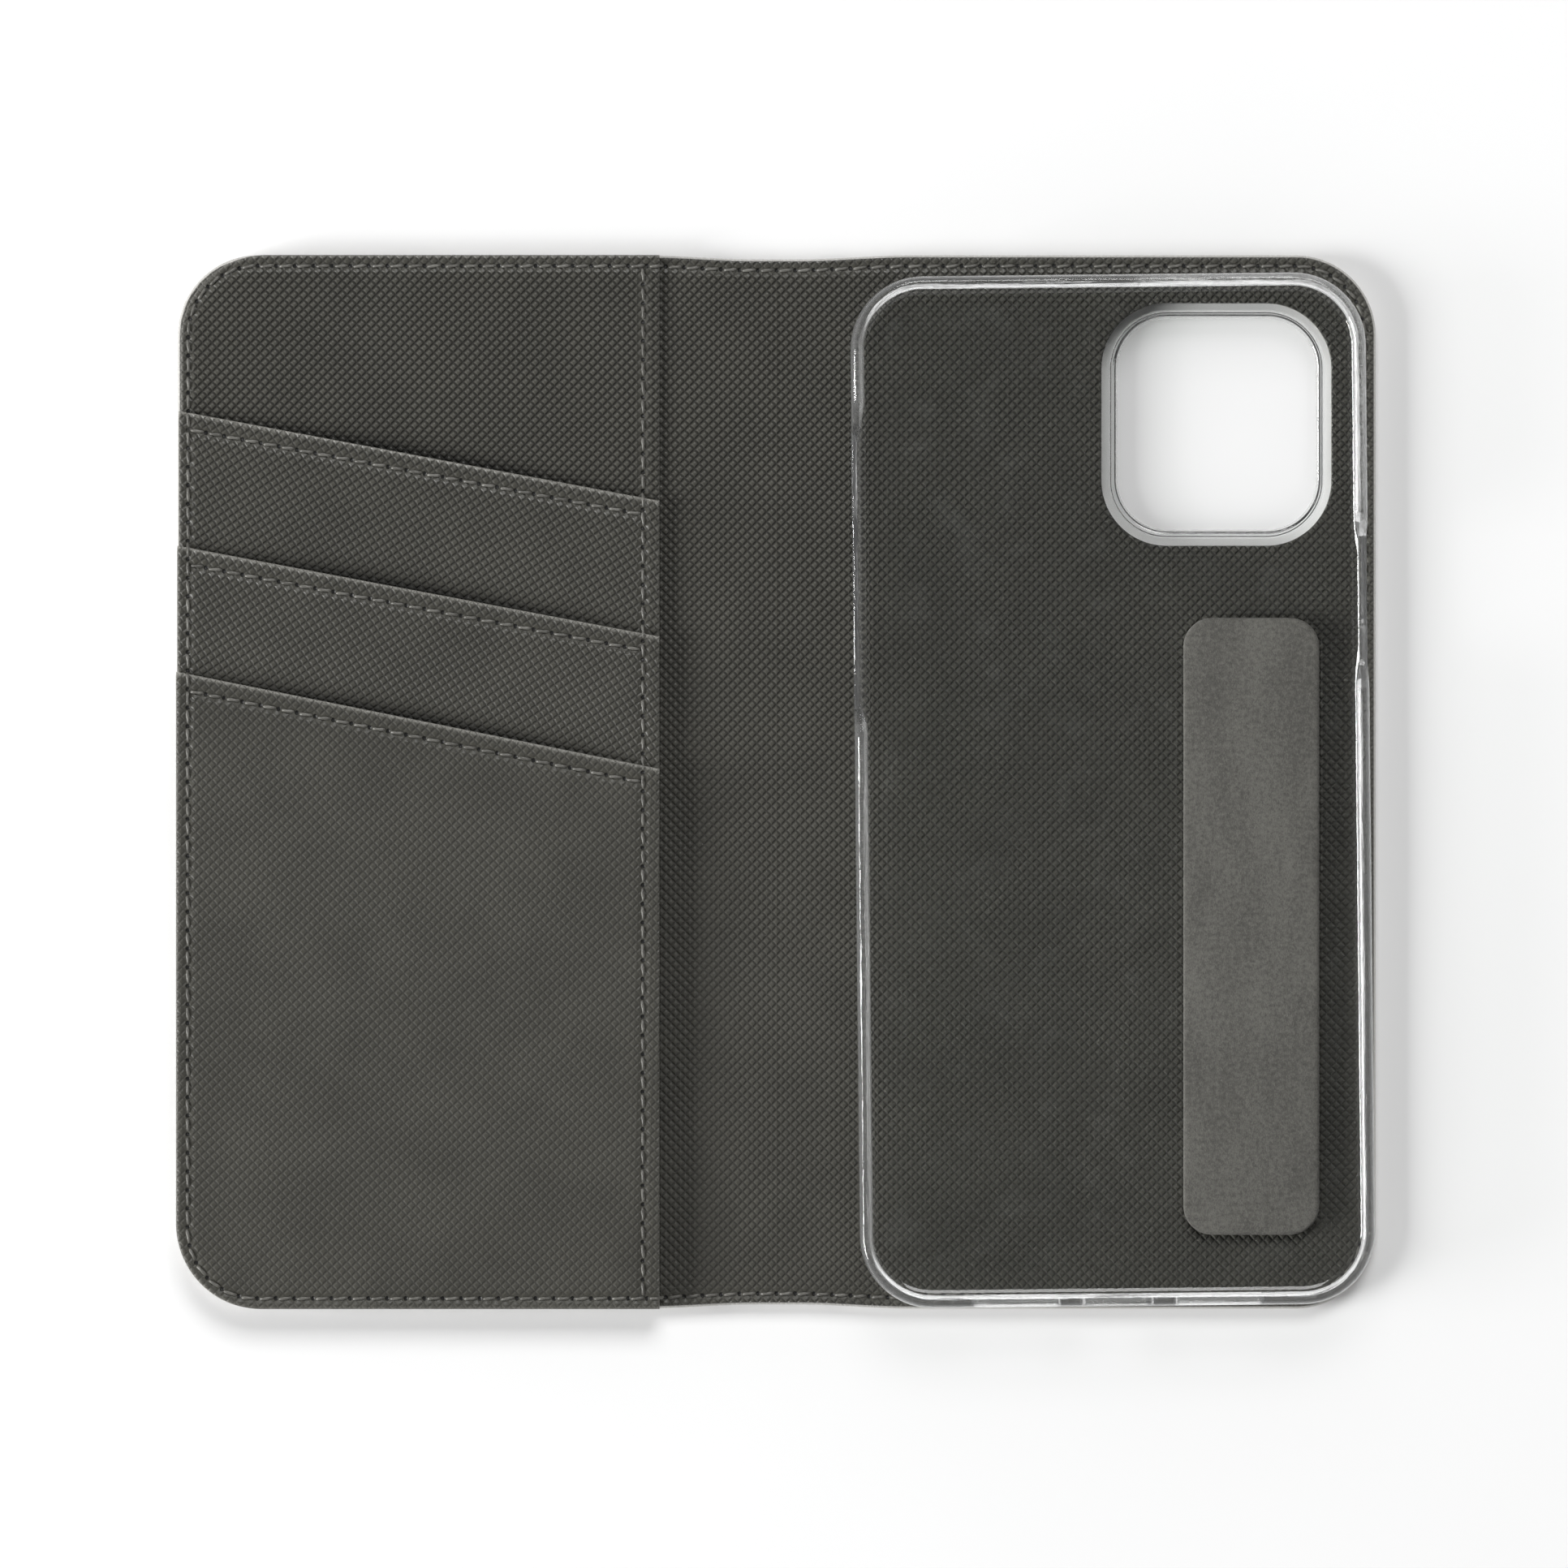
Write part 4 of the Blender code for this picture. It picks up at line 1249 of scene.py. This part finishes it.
def loft(name, rings):  # rings of points skinned in order, with both ends closed by a flat cap
    rings = np.array(rings)
    m, n = rings.shape[:2]
    mesh = bpy.data.meshes.new(name)
    caps = [list(range(n))[::-1], list(range((m - 1) * n, m * n))]
    mesh.from_pydata((rings.reshape(-1, 3) * mm).tolist(), [], tubeQuads(m, n).tolist() + caps)
    shell = bmesh.new()
    shell.from_mesh(mesh)
    bmesh.ops.recalc_face_normals(shell, faces=shell.faces)
    shell.to_mesh(mesh)
    shell.free()
    made = bpy.data.objects.new(name, mesh)
    bpy.context.scene.collection.objects.link(made)
    return made


def carve(target, tool, operation="DIFFERENCE"):  # applied at once, and the tool is removed
    step = target.modifiers.new("carve", "BOOLEAN")
    step.operation = operation
    step.solver = "EXACT"
    step.object = tool
    bpy.context.view_layer.update()
    shaped = bpy.data.meshes.new_from_object(
        target.evaluated_get(bpy.context.evaluated_depsgraph_get()))
    target.modifiers.clear()
    target.data = shaped
    bpy.data.objects.remove(tool)


def boxTool(name, x, y, width, length, radius, layers):
    # layers are (growth, height) pairs from the bottom up
    rings = []
    for grow, z in layers:
        px, py, *_ = roundPath(width + 2 * grow, length + 2 * grow, radius + grow, 1.0)
        rings.append(np.column_stack([x + px, y + py, np.full(len(px), z)]))
    return loft(name, rings)


def windowTool(name, by, layers):  # a tool the shape of the camera window, smaller all round
    return boxTool(name, window["x"], window["y"], window["width"] - 2 * by,
                   window["height"] - 2 * by, window["corner"] - by, layers)


def keepFlat(mesh):  # the edges round every level face are sharp, so that it shades dead flat
    level = np.abs(readAll(mesh.polygons, "normal", 3)[:, 2]) > 0.99999
    level = np.repeat(level, readAll(mesh.polygons, "loop_total", 1, np.int32))
    sharp = mesh.attributes.get("sharp_edge") or mesh.attributes.new("sharp_edge", "BOOLEAN",
                                                                    "EDGE")
    values = readAll(sharp.data, "value", 1, bool)
    values[readAll(mesh.loops, "edge_index", 1, np.int32)[level]] = True
    sharp.data.foreach_set("value", values)


def buildTray():
    # profile of (inset, height) pairs carried round the tray; the height above the foot is scaled
    # down to the sill in each notch, where the lip fades out too
    low = levels["trayLow"]
    floorTop = low + tray["floor"]
    full = levels["trayTop"]
    px, py, nx, ny = roundPath(tray["width"], tray["length"], tray["corner"], tray["around"])
    high, down, sill = np.full(len(px), full), tray["length"] / 2 - py, floorTop + tray["sill"]
    for side, (upper, lower, highSlope, lowSlope) in ((-1, tray["volume"]), (1, tray["power"])):
        share = np.maximum(smooth(upper, upper - highSlope, down),
                           smooth(lower, lower + lowSlope, down))
        high = np.where(nx * side > 0.99, sill + (full - sill) * share, high)
    lipShare = np.clip((high - floorTop - tray["sill"]) / (full - floorTop - tray["sill"]), 0, 1)
    wall, lip = tray["wall"], tray["lip"]
    lipLow = full - 0.8
    profile = [(inward, low + up, False) for inward, up in tray["footCurve"]]
    profile += [(0.0, z, False) for z in np.linspace(low + 3.7, lipLow - 1.0, 6)]
    profile += [(0.05, lipLow - 0.5, False), (0.2, lipLow, False)]
    middle = (0.2 + wall + lip) / 2
    for a in np.linspace(0, np.pi, 9)[1:-1]:
        profile.append((middle - (middle - 0.2) * math.cos(a), lipLow + 0.8 * math.sin(a), True))
    profile += [(wall + lip * share, lipLow - down, share > 0)
                for share, down in ((1, 0), (0.75, 0.25), (0.3, 0.55), (0, 0.9))]
    profile += [(wall, z, False) for z in np.linspace(lipLow - 1.7, floorTop + 1.6, 6)]
    profile += [(wall + inward, floorTop + up, False) for inward, up in tray["floorCurve"]]
    foot = floorTop + 0.5
    rings = []
    for inward, z, lipPart in profile:
        reach = np.full(len(px), float(inward))
        if lipPart:
            plain = min(inward, wall)
            reach = plain + (inward - plain) * lipShare
        height = np.full(len(px), float(z))
        if z > foot:
            height = foot + (z - foot) * (high - foot) / (full - foot)
        x, y = trayTurned(px - nx * reach, py - ny * reach)
        rings.append(np.column_stack([x, y, height]))
    made = loft("clear_phone_tray", rings)
    gap, foot, slack = tray["collarGap"], tray["collarFoot"], tray["stripSlack"]
    carve(made, windowTool("collar_block", gap, [
        *((grow, foot + up) for grow, up in tray["collarLow"]),
        (0, low + tray["floor"] / 2)]), "UNION")
    carve(made, windowTool("collar_bore", gap + tray["collarWall"], [
        *((grow, foot + up) for grow, up in tray["boreLow"]),
        *((grow, floorTop + up) for grow, up in tray["boreHigh"])]))
    stripLow, stripHigh = span("suede_strip")
    carve(made, boxTool("strip_recess", *(stripHigh + stripLow)[:2] / 2,
                        *(stripHigh - stripLow)[:2] + 2 * slack, suede["corner"] + slack,
                        [(0, low - 1), (0, floorTop + 0.6)]))
    middle = floorTop + (full - 0.8 - floorTop) / 2
    for centre, width, height in tray["slots"]:
        angle = np.linspace(0, 2 * np.pi, 48, endpoint=False)
        ends = (width - height) / 2
        x = centre + np.sign(np.cos(angle)) * ends + height / 2 * np.cos(angle)
        z = middle + height / 2 * np.sin(angle)
        rings, end = [], -tray["length"] / 2
        for y, grow in ((end - 2, 1.3), (end + 0.25, 1.0), (end + wall + lip + 0.9, 1.0)):
            tx, ty = trayTurned(centre + (x - centre) * (1 + (grow - 1) * 0.3),
                                np.full(len(x), y))
            rings.append(np.column_stack([tx, ty, middle + (z - middle) * grow]))
        carve(made, loft("wall_slot", rings))
    mesh = made.data
    mesh.shade_smooth()
    mesh.set_sharp_from_angle(angle=math.radians(26))
    keepFlat(mesh)
    mesh.materials.clear()
    mesh.materials.append(finishes["clear_plastic"])
    mesh.materials.append(finishes["clear_wall"])
    x, y, z, inward = trayStraight(readAll(mesh.vertices, "co", 3))
    mesh.attributes.new("lane", "FLOAT_VECTOR", "POINT").data.foreach_set(
        "vector", np.column_stack([inward, z, x + y]).astype(np.float32).ravel())
    x, y, z, inward = trayStraight(readAll(mesh.polygons, "center", 3))
    walls = (inward < 0.9) | (z > floorTop + 0.55)
    mesh.polygons.foreach_set("material_index", walls.astype(np.int32))
    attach(made, "back_cover")
    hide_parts("phone_tray")


buildTray()
print("tray made")


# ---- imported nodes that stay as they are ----

keptNodes = {
    "back_board": "board", "spine_board": "board", "front_board": "board",
    "closure_plate": "steel", "upper_magnet": "magnet", "lower_magnet": "magnet",
    "tray_bond_film": "adhesive",
}
for nodeName, slotName in keptNodes.items():
    data = frame["nodes"][nodeName].data
    data.materials.clear()
    data.materials.append(finishes[slotName])
print("kept nodes finished")


# ---- table, lamps and camera ----

def buildTable():
    # one large square just under the case, faintly mottled
    reach, under = 3000 * mm, -0.1 * mm
    mesh = bpy.data.meshes.new("table")
    mesh.from_pydata([(x * reach, y * reach, under) for x, y in
                      ((-1, -1), (1, -1), (1, 1), (-1, 1))], [], [(0, 1, 2, 3)])
    table = bpy.data.objects.new("table", mesh)
    bpy.context.scene.collection.objects.link(table)
    made, shader, w = newFinish("pale_table", {"Specular IOR Level": 0.1})
    mottle = w.noise(w.place(), 60.0, 2.0)
    colour = mottle.mix((0.93, 0.93, 0.93), (0.95, 0.95, 0.95))
    feed(shader, Base_Color=colour, Roughness=0.8 + 0.1 * (mottle - 0.5))
    mesh.materials.append(made)


def softLamp(name, azimuth, elevation, distance, size, power):
    # square lamp facing the case; azimuth is anticlockwise from +X
    a, e = math.radians(azimuth), math.radians(elevation)
    data = bpy.data.lights.new(name, "AREA")
    data.shape = "RECTANGLE"
    data.size, data.size_y = size
    data.energy = power
    lamp = bpy.data.objects.new(name, data)
    lamp.location = distance * mathutils.Vector(
        (math.cos(a) * math.cos(e), math.sin(a) * math.cos(e), math.sin(e)))
    lamp.rotation_mode = "QUATERNION"
    lamp.rotation_quaternion = (-lamp.location).to_track_quat("-Z", "Y")
    lamp.visible_transmission = False  # the tray's stand-in already lets its light through
    bpy.context.scene.collection.objects.link(lamp)


lamps = {
    "top_lamp": (84, 52, 2.4, (1.4, 1.0), 32),
    "side_lamp": (190, 21, 2.2, (1.0, 0.7), 57),
    "fill_lamp": (-50, 62, 2.2, (1.6, 1.6), 4.4),
}
view = {
    "above": 2.0,         # metres over the case
    "across": 0.228,      # width of the picture on the table
    "x": 0.00106,
    "y": -0.0003,
    "zenith": 0.05,       # soft light from straight above and from the horizon
    "horizon": 0.76,
}


def buildView():
    for name, values in lamps.items():
        softLamp(name, *values)
    world = bpy.data.worlds.new("studio")
    world.use_nodes = True
    sky = world.node_tree.nodes["Background"]
    way = Wire(world.node_tree).node("ShaderNodeTexCoord", {}, {}, "Generated")
    light = way.parts()[2].math("ABSOLUTE").fade(0.15, 0.75, view["horizon"], view["zenith"])
    world.node_tree.links.new(light.socket, sky.inputs[1])
    sky.inputs[0].default_value = (1, 1, 1, 1)
    scene = bpy.context.scene
    scene.world = world
    data = bpy.data.cameras.new("camera")
    data.sensor_width = 36
    data.lens = data.sensor_width * view["above"] / view["across"]
    camera = bpy.data.objects.new("camera", data)
    camera.location = (view["x"], view["y"], view["above"])
    scene.collection.objects.link(camera)
    scene.camera = camera
    scene.view_settings.view_transform = "Standard"
    scene.cycles.caustics_refractive = False  # light through the tray is counted once


buildTable()
buildView()
print("table, lamps and camera placed")

bpy.context.view_layer.update()
